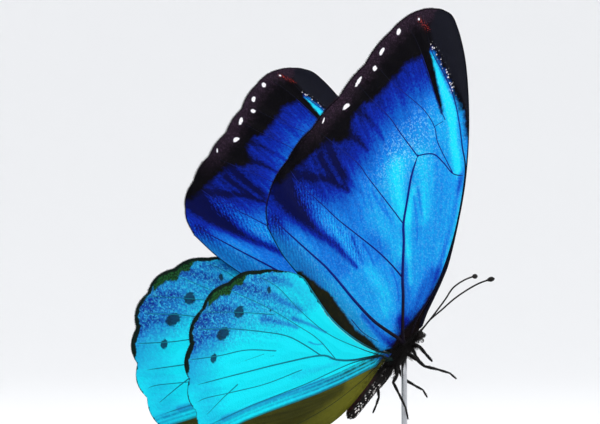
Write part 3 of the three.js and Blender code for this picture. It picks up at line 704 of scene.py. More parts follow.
class Board:
    """A node tree being wired. Each method adds one node and gives its output as a Wire."""

    def __init__(self, tree):
        self.tree = tree

    def node(self, kind, inputs=None, **settings):
        """A node with its settings, and its inputs by name or number as values or wires."""
        made = self.tree.nodes.new(kind)
        for name, value in settings.items():
            setattr(made, name, value)
        for name, value in (inputs or {}).items():
            if value is not None:
                self.feed(made.inputs[name], value)
        return made

    def wires(self, kind, inputs=None, **settings):
        """All outputs of a new node, by name."""
        return {socket.name: Wire(self, socket) for socket in self.node(kind, inputs, **settings).outputs}

    def wire(self, kind, inputs=None, output=0, **settings):
        """One output of a new node, by number or name."""
        return Wire(self, self.node(kind, inputs, **settings).outputs[output])

    def feed(self, socket, value):
        """Links a socket or sets a value. A colour setting turns from a screen colour to a linear one."""
        if isinstance(value, Wire):
            self.tree.links.new(value.socket, socket)
        else:
            socket.default_value = linear(value) if isinstance(value, Color) else value

    def math(self, operation, first, second=0, third=None):
        return self.wire("ShaderNodeMath", {0: first, 1: second, 2: third}, operation=operation)

    def vector_math(self, operation, first, second=None, scale=None):
        output = "Value" if operation in ("LENGTH", "DOT_PRODUCT") else "Vector"
        inputs = {0: first, 1: second, "Scale": scale}
        return self.wire("ShaderNodeVectorMath", inputs, output, operation=operation)

    def split(self, vector):
        return list(self.wires("ShaderNodeSeparateXYZ", {0: vector}).values())

    def join(self, x, y, z=None):
        return self.wire("ShaderNodeCombineXYZ", {0: x, 1: y, 2: z})

    def mix(self, factor, first, second, blend="MIX"):
        return self.wire("ShaderNodeMix", {0: factor, 6: first, 7: second}, 2, data_type="RGBA",
            blend_type=blend, clamp_factor=True)

    def layered(self, colour, *layers):
        """Lays each (mask, colour) over all that is below it."""
        for mask, paint in layers:
            colour = self.mix(mask, colour, paint)
        return colour

    def span(self, value, low, high, to_low=0, to_high=1):
        """From one range to another, smoothly, and held at its ends."""
        inputs = {"Value": value, "From Min": low, "From Max": high, "To Min": to_low, "To Max": to_high}
        return self.wire("ShaderNodeMapRange", inputs, interpolation_type="SMOOTHSTEP")

    def ramp(self, value, stops):
        made = self.node("ShaderNodeValToRGB", {0: value})
        elements = made.color_ramp.elements
        while len(elements) < len(stops):
            elements.new(0.5)
        for element, (place, colour) in zip(elements, stops, strict=True):
            element.position, element.color = place, linear(colour)
        return Wire(self, made.outputs[0])

    def noise(self, vector, scale, detail=2, roughness=0.5):
        return self.wire("ShaderNodeTexNoise", {"Vector": vector, "Scale": scale, "Detail": detail,
            "Roughness": roughness})

    def cells(self, vector, scale, randomness=1):
        """The distance to the nearest cell's middle, and a colour of each cell's own."""
        return self.wires("ShaderNodeTexVoronoi", {"Vector": vector, "Scale": scale,
            "Randomness": randomness})

    def attribute(self, name, output="Fac"):
        return self.wire("ShaderNodeAttribute", None, output, attribute_name=name)

    def place(self):
        return self.wire("ShaderNodeTexCoord", None, "Object")

    def group(self, tree, **values):
        inputs = {name.capitalize(): value for name, value in values.items()}
        return self.wires("ShaderNodeGroup", inputs, node_tree=tree)

    def bump(self, height, distance, strength):
        inputs = {"Height": height, "Distance": distance, "Strength": strength}
        return self.wire("ShaderNodeBump", inputs, "Normal")

    def dress(self, shader, colour, specular, rough=None, relief=None, others=()):
        """Wires a shader. rough is a value with its least and most roughness, and relief is a height with its
        distance and strength. others are (input, value)."""
        self.feed(shader.inputs["Base Color"], colour)
        shader.inputs["Specular IOR Level"].default_value = specular
        if rough:
            value, least, most = rough
            self.feed(shader.inputs["Roughness"], self.span(value, 0.3, 0.7, least, most))
        if relief:
            self.feed(shader.inputs["Normal"], self.bump(*relief))
        for name, value in others:
            shader.inputs[name].default_value = value


def new_material(name):
    """A material with an empty board, its Principled shader and nothing else."""
    material = bpy.data.materials.new(name)
    material.use_nodes = True
    material.node_tree.nodes.clear()
    board = Board(material.node_tree)
    shader = board.node("ShaderNodeBsdfPrincipled")
    board.node("ShaderNodeOutputMaterial", {"Surface": Wire(board, shader.outputs[0])})
    return material, board, shader


def new_tree(name, kind, inputs, outputs):
    """A node group. Its inputs and outputs are names with the kind of their socket."""
    tree = bpy.data.node_groups.new(name, kind)
    for way, sockets in (("INPUT", inputs), ("OUTPUT", outputs)):
        for label, socket_kind in sockets.items():
            tree.interface.new_socket(label, in_out=way, socket_type="NodeSocket" + socket_kind)
    board = Board(tree)
    return tree, board, board.wires("NodeGroupInput"), board.node("NodeGroupOutput").inputs


def found_group(name, build):
    """The named node group, built on its first use."""
    return bpy.data.node_groups.get(name) or build(name)


def build_scale_grain(name):
    """Rows of small overlapping scales: their shade, their relief, and which few catch the light, the mask
    for painted glints.
    """
    tree, board, given, out = new_tree(name, "ShaderNodeTree", {"Flat": "Vector", "Length": "Float"},
        {"Shade": "Float", "Height": "Float", "Glint": "Float"})
    stretched = board.vector_math("MULTIPLY", given["Flat"], (0.62, 1, 1))
    pitch = 1 / given["Length"]
    scales = board.cells(stretched, pitch)
    patches = board.noise(given["Flat"], 1.6, 3, 0.6)
    own_shade = board.wire("ShaderNodeSeparateColor", {0: scales["Color"]})
    board.feed(out["Shade"], own_shade * 0.7 + patches * 0.6)
    board.feed(out["Height"], 1 - scales["Distance"])
    # Painted highlights: the few scales that catch the light, picked from finer cells.
    fine = board.cells(stretched, pitch * 1.35)["Color"]
    glint = board.span(board.wire("ShaderNodeSeparateColor", {0: fine}, 1), 0.66, 0.78)
    board.feed(out["Glint"], glint * board.span(patches, 0.36, 0.56))
    return tree


def build_oval_mark(name):
    """1 inside an oval of scales, 0 outside it, with a slightly ragged edge."""
    inputs = {"Flat": "Vector", "Centre": "Vector", "Turn": "Float", "Length": "Float", "Width": "Float",
        "Soft": "Float"}
    tree, board, given, out = new_tree(name, "ShaderNodeTree", inputs, {"Mask": "Float"})
    ragged = board.noise(given["Flat"], 1.9, 3) * 0.9
    away = board.vector_math("SUBTRACT", given["Flat"], given["Centre"])
    turned = board.wire("ShaderNodeVectorRotate", {"Vector": away, "Angle": given["Turn"] * -1},
        rotation_type="Z_AXIS")
    size = board.join(2 / given["Length"], 2 / given["Width"])
    reach = board.vector_math("LENGTH", board.vector_math("MULTIPLY", turned, size))
    edge = reach + (ragged - 0.45)
    board.feed(out["Mask"], board.span(edge, 1, 1 - given["Soft"]))
    return tree


def marks_mask(board, flat, marks, soft):
    """1 inside any of the marks."""
    oval = found_group("Oval mark", build_oval_mark)
    mask = 0
    for (x, y), length, width, turn in marks:
        one = board.group(oval, flat=flat, centre=(x, y, 0), turn=math.radians(turn), length=length,
            width=width, soft=soft)["Mask"]
        mask = board.math("MAXIMUM", mask, one)
    return mask


def build_body_markings(name):
    """The trunk's colours by place in the body's own frame, in millimetres. The abdomen's pale flecks are
    partly painted glints.
    """
    body = bpy.context.scene.morpho_body
    tree, board, given, out = new_tree(name, "ShaderNodeTree", {"Place": "Vector"}, {"Color": "Color"})
    forward, left, dorsal = board.split(given["Place"])
    blotch = board.noise(given["Place"], 1.3, 3, 0.6)
    dark = board.mix(board.span(blotch, 0.35, 0.75), body.dark, linear(body.dark, 1.9))
    on_abdomen = board.span(forward, -4.2, -5.4)
    axis_line = board.span(forward, -4, -17.4, ABDOMEN_TOP_LINE, ABDOMEN_TOP_LINE - ABDOMEN_DROOP)
    above = dorsal - axis_line
    upper = board.span(above + blotch * 0.9, 1.15, 1.6)
    upper = upper * board.span(forward, -6, -9)
    coloured = board.mix(upper, dark, body.brown)
    # Pale flecks on the abdomen's flanks, more towards its rear: partly pale scales, partly painted glints.
    flank = board.span(board.math("ABSOLUTE", above + 0.2), 1, 0.55)
    bead = board.cells(board.vector_math("MULTIPLY", given["Place"], (1.1, 1, 1.2)), 1.7, 0.95)["Distance"]
    fleck = flank * on_abdomen * board.span(bead, 0.38, 0.3)
    rearward = board.span(forward, -8, -12.5, -0.09, 0.05)
    crowd = board.noise(given["Place"], 1.9, 3, 0.7) + rearward
    fleck = fleck * board.span(crowd, 0.43, 0.5)
    fleck = fleck * board.span(board.math("ABSOLUTE", left), 0.3, 0.7)
    board.feed(out["Color"], board.mix(fleck, coloured, body.fleck))
    return tree


# ---- geometry node trees


def new_modifier_tree(name, inputs):
    geometry = {"Geometry": "Geometry"}
    tree, board, given, out = new_tree(name, "GeometryNodeTree", {**geometry, **inputs}, geometry)
    tree.is_modifier = True
    return tree, board, given, out


def run_tree(piece, tree, **values):
    """Puts the tree on the piece with these inputs, and leaves a plain mesh in the given material."""
    modifier = piece.modifiers.new(tree.name, "NODES")
    modifier.node_group = tree
    for socket in tree.interface.items_tree:
        if socket.item_type == "SOCKET" and socket.in_out == "INPUT" and socket.name.lower() in values:
            modifier[socket.identifier] = values[socket.name.lower()]
    baked_from_modifiers(piece)
    piece.data.materials.clear()
    piece.data.materials.append(values["material"])
    piece.data.polygons.foreach_set("material_index", np.zeros(len(piece.data.polygons), np.int32))
    return piece


def named(board, name, kind="FLOAT"):
    return board.wire("GeometryNodeInputNamedAttribute", {"Name": name}, "Attribute", data_type=kind)


def stored(board, geometry, name, vector):
    inputs = {"Geometry": geometry, "Name": name, "Value": vector}
    return board.wire("GeometryNodeStoreNamedAttribute", inputs, data_type="FLOAT_VECTOR")


def closed_tree(board, geometry, given, out):
    """Makes what is placed real, sets the material and ends the tree."""
    real = board.wire("GeometryNodeRealizeInstances", {0: geometry})
    painted = board.wire("GeometryNodeSetMaterial", {"Geometry": real, "Material": given["Material"]})
    board.feed(out["Geometry"], painted)


def one_tuft(board, given):
    """A tapering hair or scale one unit long, standing on z and bending towards -x, with its own patch
    coordinates."""
    cone = board.wire("GeometryNodeMeshCone", {"Vertices": given["Sides"],
        "Side Segments": given["Segments"], "Radius Top": 0.08, "Radius Bottom": 1, "Depth": 1}, "Mesh",
        fill_type="NGON")
    x, y, z = board.split(board.wire("GeometryNodeInputPosition"))
    patch = board.join(board.math("MULTIPLY_ADD", x, 0.5, 0.5), z)
    swell = board.math("MULTIPLY_ADD", board.math("SINE", z * math.pi), 0.6, 0.4)
    across = x * swell * given["Flatness"] - z * z * given["Bend"]
    inputs = {"Geometry": stored(board, cone, "tuft", patch), "Position": board.join(across, y * swell, z)}
    return board.wire("GeometryNodeSetPosition", inputs)


def planted(board, points, given, normal):
    """Stands a tuft on every point, lying along the stored lie with its flat side to the surface."""
    rooted = stored(board, points, "root", board.wire("GeometryNodeInputPosition"))
    ruffle = board.wire("FunctionNodeRandomValue", {0: (-1, -1, -1), 1: (1, 1, 1),
        "Seed": SEED + 2}, data_type="FLOAT_VECTOR")
    strayed = board.vector_math("SCALE", ruffle, scale=given["Ruffle"])
    lie = board.vector_math("ADD", named(board, "lie", "FLOAT_VECTOR"), strayed)
    stood = board.wire("FunctionNodeAlignRotationToVector", {"Vector": lie}, axis="Z")
    rolled = board.wire("FunctionNodeAlignRotationToVector", {"Rotation": stood, "Vector": normal},
        axis="X", pivot_axis="Z")
    uneven = board.wire("FunctionNodeRandomValue", {2: 0.65, 3: 1.15, "Seed": SEED + 1}, 1,
        data_type="FLOAT")
    size = board.join(given["Width"], given["Width"], named(board, "hair_length") * uneven)
    return board.wire("GeometryNodeInstanceOnPoints", {"Points": rooted, "Instance": one_tuft(board, given),
        "Rotation": rolled, "Scale": size})


def build_coat_tree(name):
    """Tufts scattered over a surface. Their number, length and lie are stored on its vertices."""
    tree, board, given, out = new_modifier_tree(name, {"Density": "Float", **TUFT_INPUTS})
    scatter = board.wires("GeometryNodeDistributePointsOnFaces",
        {"Mesh": given["Geometry"], "Density": named(board, "hair") * given["Density"], "Seed": SEED},
        distribute_method="RANDOM")
    closed_tree(board, planted(board, scatter["Points"], given, scatter["Normal"]), given, out)
    return tree


def build_fringe_tree(name):
    """Tufts in a row along an edge line, which stores their length and lie."""
    tree, board, given, out = new_modifier_tree(name, {"Count": "Int", **TUFT_INPUTS})
    line = board.wire("GeometryNodeMeshToCurve", {"Mesh": given["Geometry"]})
    spaced = board.wire("GeometryNodeResampleCurve", {"Curve": line, "Count": given["Count"]})
    points = board.wire("GeometryNodeCurveToPoints", {"Curve": spaced}, "Points", mode="EVALUATED")
    closed_tree(board, planted(board, points, given, named(board, "up", "FLOAT_VECTOR")), given, out)
    return tree


def build_tube_tree(name):
    """Round tubes along lines, each point with its own stored radius."""
    tree, board, given, out = new_modifier_tree(name, {"Sides": "Int", "Material": "Material"})
    line = board.wire("GeometryNodeMeshToCurve", {"Mesh": given["Geometry"]})
    ring = board.wire("GeometryNodeCurvePrimitiveCircle", {"Resolution": given["Sides"], "Radius": 1})
    swept = board.wire("GeometryNodeCurveToMesh", {"Curve": line, "Profile Curve": ring,
        "Scale": named(board, "thick"), "Fill Caps": True})
    closed_tree(board, swept, given, out)
    return tree


def build_facet_tree(name):
    """A ball of small raised six-sided lenses, scaled to an eye."""
    tree, board, given, out = new_modifier_tree(name, {"Half": "Vector", "Centre": "Vector",
        "Subdivisions": "Int", "Lens": "Float", "Material": "Material"})
    ball = board.wire("GeometryNodeMeshIcoSphere", {"Radius": 1, "Subdivisions": given["Subdivisions"]},
        "Mesh")
    raised = board.wires("GeometryNodeExtrudeMesh", {"Mesh": board.wire("GeometryNodeDualMesh", {0: ball}),
        "Offset Scale": given["Lens"], "Individual": True}, mode="FACES")
    drawn = board.wire("GeometryNodeScaleElements", {"Geometry": raised["Mesh"], "Selection": raised["Top"],
        "Scale": 0.62}, domain="FACE")
    sized = board.wire("GeometryNodeTransform", {"Geometry": drawn, "Scale": given["Half"],
        "Translation": given["Centre"]})
    closed_tree(board, sized, given, out)
    return tree


def line_of(points):
    """The edges that join the points in a row."""
    return [(i, i + 1) for i in range(len(points) - 1)]


def tube_piece(name, routes, material, sides=8):
    """Tubes along several routes of (points in metres, radii in metres), as one mesh."""
    vertices, edges, radii = [], [], []
    for points, thick in routes:
        edges += [(len(vertices) + a, len(vertices) + b) for a, b in line_of(points)]
        vertices += list(points)
        radii += list(thick)
    piece = new_piece(name, vertices, [], edges=edges)
    write_attribute(piece.data, "thick", radii)
    run_tree(piece, found_group("Tubes", build_tube_tree), sides=sides, material=material)
    piece.data.shade_smooth()
    return piece


def patch_map(piece, unwrap):
    """The map of a coat piece: each tuft is a small patch at its root's place on the skin's unwrap."""
    mesh = piece.data
    own = read_attribute(mesh, "tuft", 3)[:, :2] - 0.5
    write_map(mesh, unwrap(read_attribute(mesh, "root", 3)) + own * PATCH_SIZE)


# ---- wings


class Wing:
    """One wing's flat layout and its place in the air."""

    def __init__(self, name):
        self.name = name
        self.set = WING_SET[name]
        self.side = self.set["side"]
        self.fore = name.startswith("forewing")
        self.plan = FOREWING if self.fore else HINDWING
        self.veins = FORE_VEINS if self.fore else HIND_VEINS
        self.layout()

    def outer_edge(self, share):
        """The scalloped outer edge: it rounds out between its notches and pulls in sharply at each one."""
        curve = smooth_line(self.plan["outer"])
        point = at_share(curve, share)
        before, after = np.maximum(share - 1e-3, 0), np.minimum(share + 1e-3, 1)
        along = at_share(curve, after) - at_share(curve, before)
        along /= np.linalg.norm(along, axis=-1)[..., None]
        roundness = np.abs(np.sin(math.pi * self.plan["scallops"] * (share - self.plan["first_notch"])))
        rise = -SCALLOP_NOTCH + (SCALLOP_CREST + SCALLOP_NOTCH) * roundness
        outward = np.stack([-along[..., 1], along[..., 0]], axis=-1)
        return point + outward * (self.plan["scallop_depth"] * np.sin(math.pi * share) * rise)[..., None]

    def layout(self):
        """A patch stretched between the four edges, with its distances to the outline and the veins."""
        spans, chords = self.plan["steps"]
        u, v = np.meshgrid(np.linspace(0, 1, spans + 1), np.linspace(0, 1, chords + 1), indexing="ij")
        leading, inner = smooth_line(self.plan["leading"]), smooth_line(self.plan["inner"])
        front, back, edge = at_share(leading, u), at_share(inner, u), self.outer_edge(v)
        root = front[:1] * (1 - v[..., None]) + back[:1] * v[..., None]
        tip = front[-1:, :1] * (1 - v[..., None]) + back[-1:, :1] * v[..., None]
        uu, vv = u[..., None], v[..., None]
        flat = front * (1 - vv) + back * vv + root * (1 - uu) + edge * uu - root * (1 - uu) - tip * uu
        self.u, self.v = u.ravel(), v.ravel()
        self.flat = flat.reshape(-1, 2)
        share = np.linspace(0, 1, 260)
        self.front_edge, self.back_edge = at_share(leading, share), at_share(inner, share)
        self.tip_edge = self.outer_edge(share)
        self.to_front = path_distance(self.flat, self.front_edge[::3])[0]
        self.to_outer = path_distance(self.flat, self.tip_edge[::2])[0]
        self.to_back = path_distance(self.flat, self.back_edge[::3])[0]
        self.to_rim = np.minimum(np.minimum(self.to_front, self.to_outer), self.to_back)
        gaps = [path_distance(self.flat, evened(route, 2))[0] for _, _, route in self.veins]
        self.to_vein = np.min([*gaps, self.to_front], axis=0)
        self.rise = self.surface()

    def surface(self):
        """How far the middle of the sheet stands off its flat plane, sagging between veins."""
        wings = bpy.context.scene.morpho_wings
        rise = self.plan["camber"] * np.sin(math.pi * self.u) * np.sin(math.pi * self.v)
        rise = rise + self.plan["fold"] * smoothstep(FOLD_START, 1, self.v) * self.u
        sag = wings.pleat / MM * smoothstep(0, 2.6, self.to_vein) * smoothstep(0, 1.2, self.to_rim)
        rise = rise - sag * smoothstep(0.03, 0.2, self.u)
        if self.fore:
            valley = path_distance(self.flat, evened(FORE_VALLEY, 2))[0]
            return rise - 0.28 * np.exp(-((valley / 1.3) ** 2))
        depth = region_depth(self.flat, HIND_FOLD)
        pleats = 0.1 * np.cos(2 * math.pi * depth / 1.1) * np.exp(-(((depth + 1.2) / 1.8) ** 2))
        return rise + pleats * smoothstep(0.03, 0.25, self.u)

    def place(self, flat, rise):
        """Flat millimetres and a height over the flat plane to body-frame millimetres."""
        reach, spread = self.set.get("reach", 1), self.set.get("spread", 1)
        outward = reach * flat[:, 0] + self.set.get("shear", 0) * flat[:, 1]
        local = np.stack([spread * flat[:, 1], self.side * outward, rise], axis=1)
        return local @ self.turn().T + self.hinge()

    def hinge(self):
        return np.array(sided([self.plan["hinge"]], self.side)[0])

    def turn(self):
        raised = Matrix.Rotation(math.radians(self.side * self.set["raise"]), 3, "X")
        swept = Matrix.Rotation(math.radians(-self.side * self.set["sweep"]), 3, "Z")
        twisted = Matrix.Rotation(math.radians(-self.set["twist"]), 3, "Y")
        return np.array(raised @ swept @ twisted)

    def height_at(self, spots):
        """The sheet's height at flat spots, from the nearest laid-out points."""
        heights = []
        for spot in spots:
            gap = ((self.flat - spot) ** 2).sum(axis=1)
            near = np.argpartition(gap, 4)[:4]
            weight = 1 / (gap[near] + 1e-4)
            heights.append((self.rise[near] * weight).sum() / weight.sum())
        return np.array(heights)

    def up(self):
        """The sheet's upper side, in the world."""
        return turn_to_world(self.turn()[:, 2])

    def lengthwise(self, flat_way):
        """A direction on the flat layout, in the world."""
        way = np.array([flat_way[1], self.side * flat_way[0], 0])
        return turn_to_world(self.turn() @ way)


def fore_paint(wing):
    """The forewing's stored masks: the blue's light, partly painted light and shade, and depths in
    millimetres into each dark zone.
    """
    spots = wing.flat
    border = region_depth(spots, FORE_BORDER)
    light = 0.61 - 0.47 * smoothstep(17, 0.5, path_distance(spots, FORE_BORDER[4:18])[0])
    light -= 0.13 * np.exp(-(((spots[:, 0] - 43) / 7) ** 2) - ((spots[:, 1] - 10.5) / 5) ** 2)
    for stroke in FORE_BRUSH:
        light += brush(spots, *stroke)
    ripple = path_distance(spots, [(24, 4.9), (34, 5), (46, 4.6)])[0]
    lower_ripple = path_distance(spots, [(22, -4.4), (34, -4.2), (46, -3.4)])[0]
    start, end, route = FORE_WEDGE
    gap, share = path_distance(spots, route)
    wedge = 3 * (start + (end - start) * share - gap)
    fleck = np.exp(-((path_distance(spots, FORE_FLECKS)[0] / 0.35) ** 2))
    rust = np.exp(-((path_distance(spots, FORE_RUST_FLECKS)[0] / 0.42) ** 2))
    # Where the painted glints show: round the middle of the upper blue, and only where the blue is light.
    upper = np.exp(-(((spots[:, 0] - 35) / 7.5) ** 2) - ((spots[:, 1] - 26.5) / 7.5) ** 2)
    return {
        "light": light, "border": np.maximum(border, wedge), "slate": region_depth(spots, FORE_SLATE),
        "olive": region_depth(spots, FORE_OLIVE), "fleck": fleck, "rust": rust,
        "sparkle": np.clip(upper + 0.2, 0, 1) * smoothstep(0.3, 0.6, light),
        "teal": smoothstep(-1, 2.6, region_depth(spots, FORE_TEAL)),
        "ripple": np.exp(-((np.minimum(ripple, lower_ripple) / 2.2) ** 2)),
        "root": region_depth(spots, FORE_ROOT),
    }


def hind_paint(wing):
    """The hindwing's stored masks, in the same way."""
    spots = wing.flat
    speckle = region_depth(spots, HIND_SPECKLE)
    light = 0.98 - 0.44 * smoothstep(-5, 7, speckle)
    for stroke in HIND_BRUSH:
        light += brush(spots, *stroke)
    shares, widths = zip(*HIND_BORDER, strict=True)
    border = np.interp(wing.v, shares, widths) - wing.to_outer
    top = 0.2 - path_distance(spots, wing.front_edge[150:])[0]
    fold = region_depth(spots, HIND_FOLD)
    pleat = sum(depth * np.exp(-(((fold + place) / width) ** 2)) for place, width, depth in HIND_PLEATS)
    away = np.linalg.norm(spots, axis=1)
    pleat *= 1 - 0.4 * smoothstep(10, 26, away)
    # Painted shade in the blue beside the fold; the blue also turns dark near the hinge.
    light -= 0.22 * smoothstep(-3, -2, fold) * smoothstep(40, 14, away)
    light -= 0.9 * np.exp(-((away / 2.6) ** 2))
    # The olive inner field's painted shade: along the fold, growing away from the hinge, and deep at the
    # hinge.
    shade = brush(spots, 0.8, 1.5, 3.4, [(4.6, -13), (8.4, -21), (13.6, -29), (17.6, -36)])
    shade += 0.78 * smoothstep(9, 32, away) + 1.2 * np.exp(-((away / 6.2) ** 2))
    rim = np.exp(-((wing.to_front / 0.24) ** 2))
    return {
        "light": light, "border": np.maximum(border, top), "olive": fold,
        "moss": region_depth(spots, HIND_MOSS), "speckle": smoothstep(-5, 5, speckle),
        # sparkle: where the painted glints show, over the speckled zone.
        "pleat": np.clip(pleat, 0, 1), "sparkle": smoothstep(-3, 5, speckle),
        "cream": 0.42 * rim * smoothstep(26, 22, away) * smoothstep(3, 8, away), "shade": shade,
    }


def streaks_of(board, strength):
    """Long faint streaks that run from the hinge to the outer edge."""
    rays = board.vector_math("MULTIPLY", board.attribute("ray", "Vector"), (3, 46, 1))
    return (board.noise(rays, 1, 3, 0.6) - 0.5) * strength


def scales_material(name):
    """A wing's material with its flat place, its scales' grain and a slow wander about 0."""
    material, board, shader = new_material(name)
    flat = board.attribute("flat", "Vector")
    length = bpy.context.scene.morpho_wings.scale_length / MM
    grain = board.group(found_group("Scale grain", build_scale_grain), flat=flat, length=length)
    board.feed(shader.inputs["Normal"], board.bump(grain["Height"], 0.00005, 0.55))
    board.feed(shader.inputs["Roughness"], board.span(grain["Shade"], 0.2, 1.1, 0.56, 0.38))
    return material, board, shader, flat, grain, board.noise(flat, 0.9, 4, 0.6) - 0.5


def fore_blue(board, flat, grain, wander):
    """The forewing's blue field with its partly painted light and shade and its painted glints, and the dark
    and green zones near the hinge and the inner edge.
    """
    wings = bpy.context.scene.morpho_wings
    across = board.vector_math("DOT_PRODUCT", flat, (0.59, -0.81, 0)) * 9.2
    across = across + board.noise(flat, 0.8, 3, 0.7) * 16
    ripples = board.math("SINE", across) * board.attribute("ripple")
    ripples = ripples * board.span(board.noise(flat, 1.9, 2), 0.34, 0.62)
    tone = board.attribute("light") + streaks_of(board, 0.34) + (grain["Shade"] - 0.65) * 0.16
    blue = board.ramp(tone + ripples * 0.2, [(0, wings.navy), (0.22, wings.ultramarine),
        (0.5, wings.azure), (0.72, wings.sky), (0.95, wings.cyan)])
    olive = board.mix(board.span(wander, -0.1, 0.3), wings.olive_dark, linear(wings.olive, 0.36))
    return board.layered(
        blue,
        (board.attribute("teal") * 0.5, wings.teal),
        # Painted highlights: pale glints of the scales that catch the light.
        (grain["Glint"] * board.attribute("sparkle") * 0.5, linear((0.62, 0.9, 1))),
        (board.span(board.attribute("olive") + wander, 0, 0.7), olive),
        (board.span(board.attribute("root") + wander, -0.5, 0.3), wings.vein_base),
    )


def fore_border(board, flat, grain, wander):
    """The forewing's border: black, dusted with plum outwards, and slate at the tip, partly painted sheen."""
    wings = bpy.context.scene.morpho_wings
    dusty = board.span(board.attribute("to_outer") + wander * 5, 4.6, 0.8)
    dusty = dusty * board.span(board.split(flat)[1], 8, 20)
    mottle = board.span(board.noise(flat, 3.2, 3, 0.7), 0.42, 0.62)
    dusty = dusty * board.math("MULTIPLY_ADD", mottle, 0.6, 0.4)
    return board.layered(
        wings.black,
        (dusty, wings.plum),
        (board.span(grain["Shade"], 0.75, 1.1) * 0.5 * dusty, linear(wings.plum, 1.7)),
        # Slate: partly the border's own grey, partly painted sheen.
        (board.span(board.attribute("slate") + wander, -0.3, 0.5), wings.slate),
    )


def forewing_material():
    wings = bpy.context.scene.morpho_wings
    material, board, shader, flat, grain, wander = scales_material("Forewing scales")
    spark = board.attribute("fleck") * board.span(board.cells(flat, 1.9)["Distance"], 0.4, 0.26)
    ember = board.attribute("rust") * board.span(board.cells(flat, 4.4)["Distance"], 0.36, 0.26)
    colour = board.layered(
        fore_blue(board, flat, grain, wander),
        (board.span(board.attribute("border") + wander * 2.6, -1.3, 0.4),
            fore_border(board, flat, grain, wander)),
        (spark, wings.white),
        (ember, wings.rust),
        (marks_mask(board, flat, FORE_MARKS, 0.3), wings.white),
        (board.span(board.attribute("to_rim"), 0.32, 0.12) * 0.85, wings.black),
    )
    board.dress(shader, colour, 0.03)
    return material


def hind_blue(board, flat, grain, wander):
    """The hindwing's cyan field with its partly painted light and shade and its painted glints, its dark
    pleats, partly painted shade, and its spots and green patches.
    """
    wings = bpy.context.scene.morpho_wings
    busy = board.math("MULTIPLY_ADD", board.attribute("speckle"), 0.4, 0.1)
    tone = board.attribute("light") + streaks_of(board, 0.14) + (grain["Shade"] - 0.65) * busy
    blue = board.ramp(tone, [(0.1, wings.hind_deep), (0.42, wings.hind_blue), (0.68, wings.hind_sky),
        (0.92, wings.hind_cyan)])
    pleat_colour_and_shade = board.mix(board.span(board.attribute("to_hinge"), 8, 24), linear(wings.moss, 0.7),
        wings.hind_deep)
    spot = board.mix(board.span(wander, -0.05, 0.2), wings.hind_mark, wings.hind_edge)
    mottled = board.span(board.noise(flat, 2.6, 3, 0.7), 0.4, 0.58)
    green = board.mix(mottled, wings.hind_edge, wings.moss)
    return board.layered(
        blue,
        # The pleats: partly their own dark scales, partly painted shade in their creases.
        (board.attribute("pleat") * board.span(wander + 0.5, 0.3, 0.55, 0.4), pleat_colour_and_shade),
        # Painted highlights: pale glints of the scales that catch the light.
        (grain["Glint"] * board.attribute("sparkle") * 0.4, linear((0.3, 0.86, 0.95))),
        (marks_mask(board, flat, HIND_MARKS, 0.3) * 0.94, spot),
        (board.span(board.attribute("moss") + wander * 1.4, -0.1, 0.35), green),
    )


def hindwing_material():
    wings = bpy.context.scene.morpho_wings
    material, board, shader, flat, grain, wander = scales_material("Hindwing scales")
    inner = board.attribute("olive")
    # Painted shade over the olive field, with lighter streaks through it.
    shade = board.span(board.attribute("shade") + wander * 0.5, 0, 1)
    olive = board.layered(wings.olive, (shade, wings.olive_dark),
        ((streaks_of(board, 1) + 0.5) * 0.4, linear(wings.olive, 1.25)))
    # Painted shade: a dark line along the fold's edge.
    lip = board.span(board.math("ABSOLUTE", inner + 0.12), 0.34, 0.1)
    ragged = board.span(board.attribute("border") + wander * 1.2, -0.12, 0.16)
    colour = board.layered(
        hind_blue(board, flat, grain, wander),
        (board.span(inner, -0.15, 0.12), olive),
        (lip * 0.6, wings.olive_dark),
        (ragged, wings.hind_edge),
        (board.attribute("cream") * 0.7, linear((0.93, 0.83, 0.6))),
    )
    board.dress(shader, colour, 0.05)
    return material


def vein_material(name, near, far, ends, dark):
    """Veins turn from one colour to the other away from the hinge, and dark inside a dark zone."""
    material, board, shader = new_material(name)
    mottle = board.noise(board.place(), 2600, 2)
    colour = board.layered(
        near,
        (board.span(board.attribute("to_hinge"), *ends), far),
        (board.span(board.attribute("dark_zone"), -1, 0.6), dark),
        (mottle * 0.35, linear(far, 0.4)),
    )
    board.dress(shader, colour, 0.06, (mottle, 0.36, 0.55), (mottle, 0.00003, 0.5))
    return material


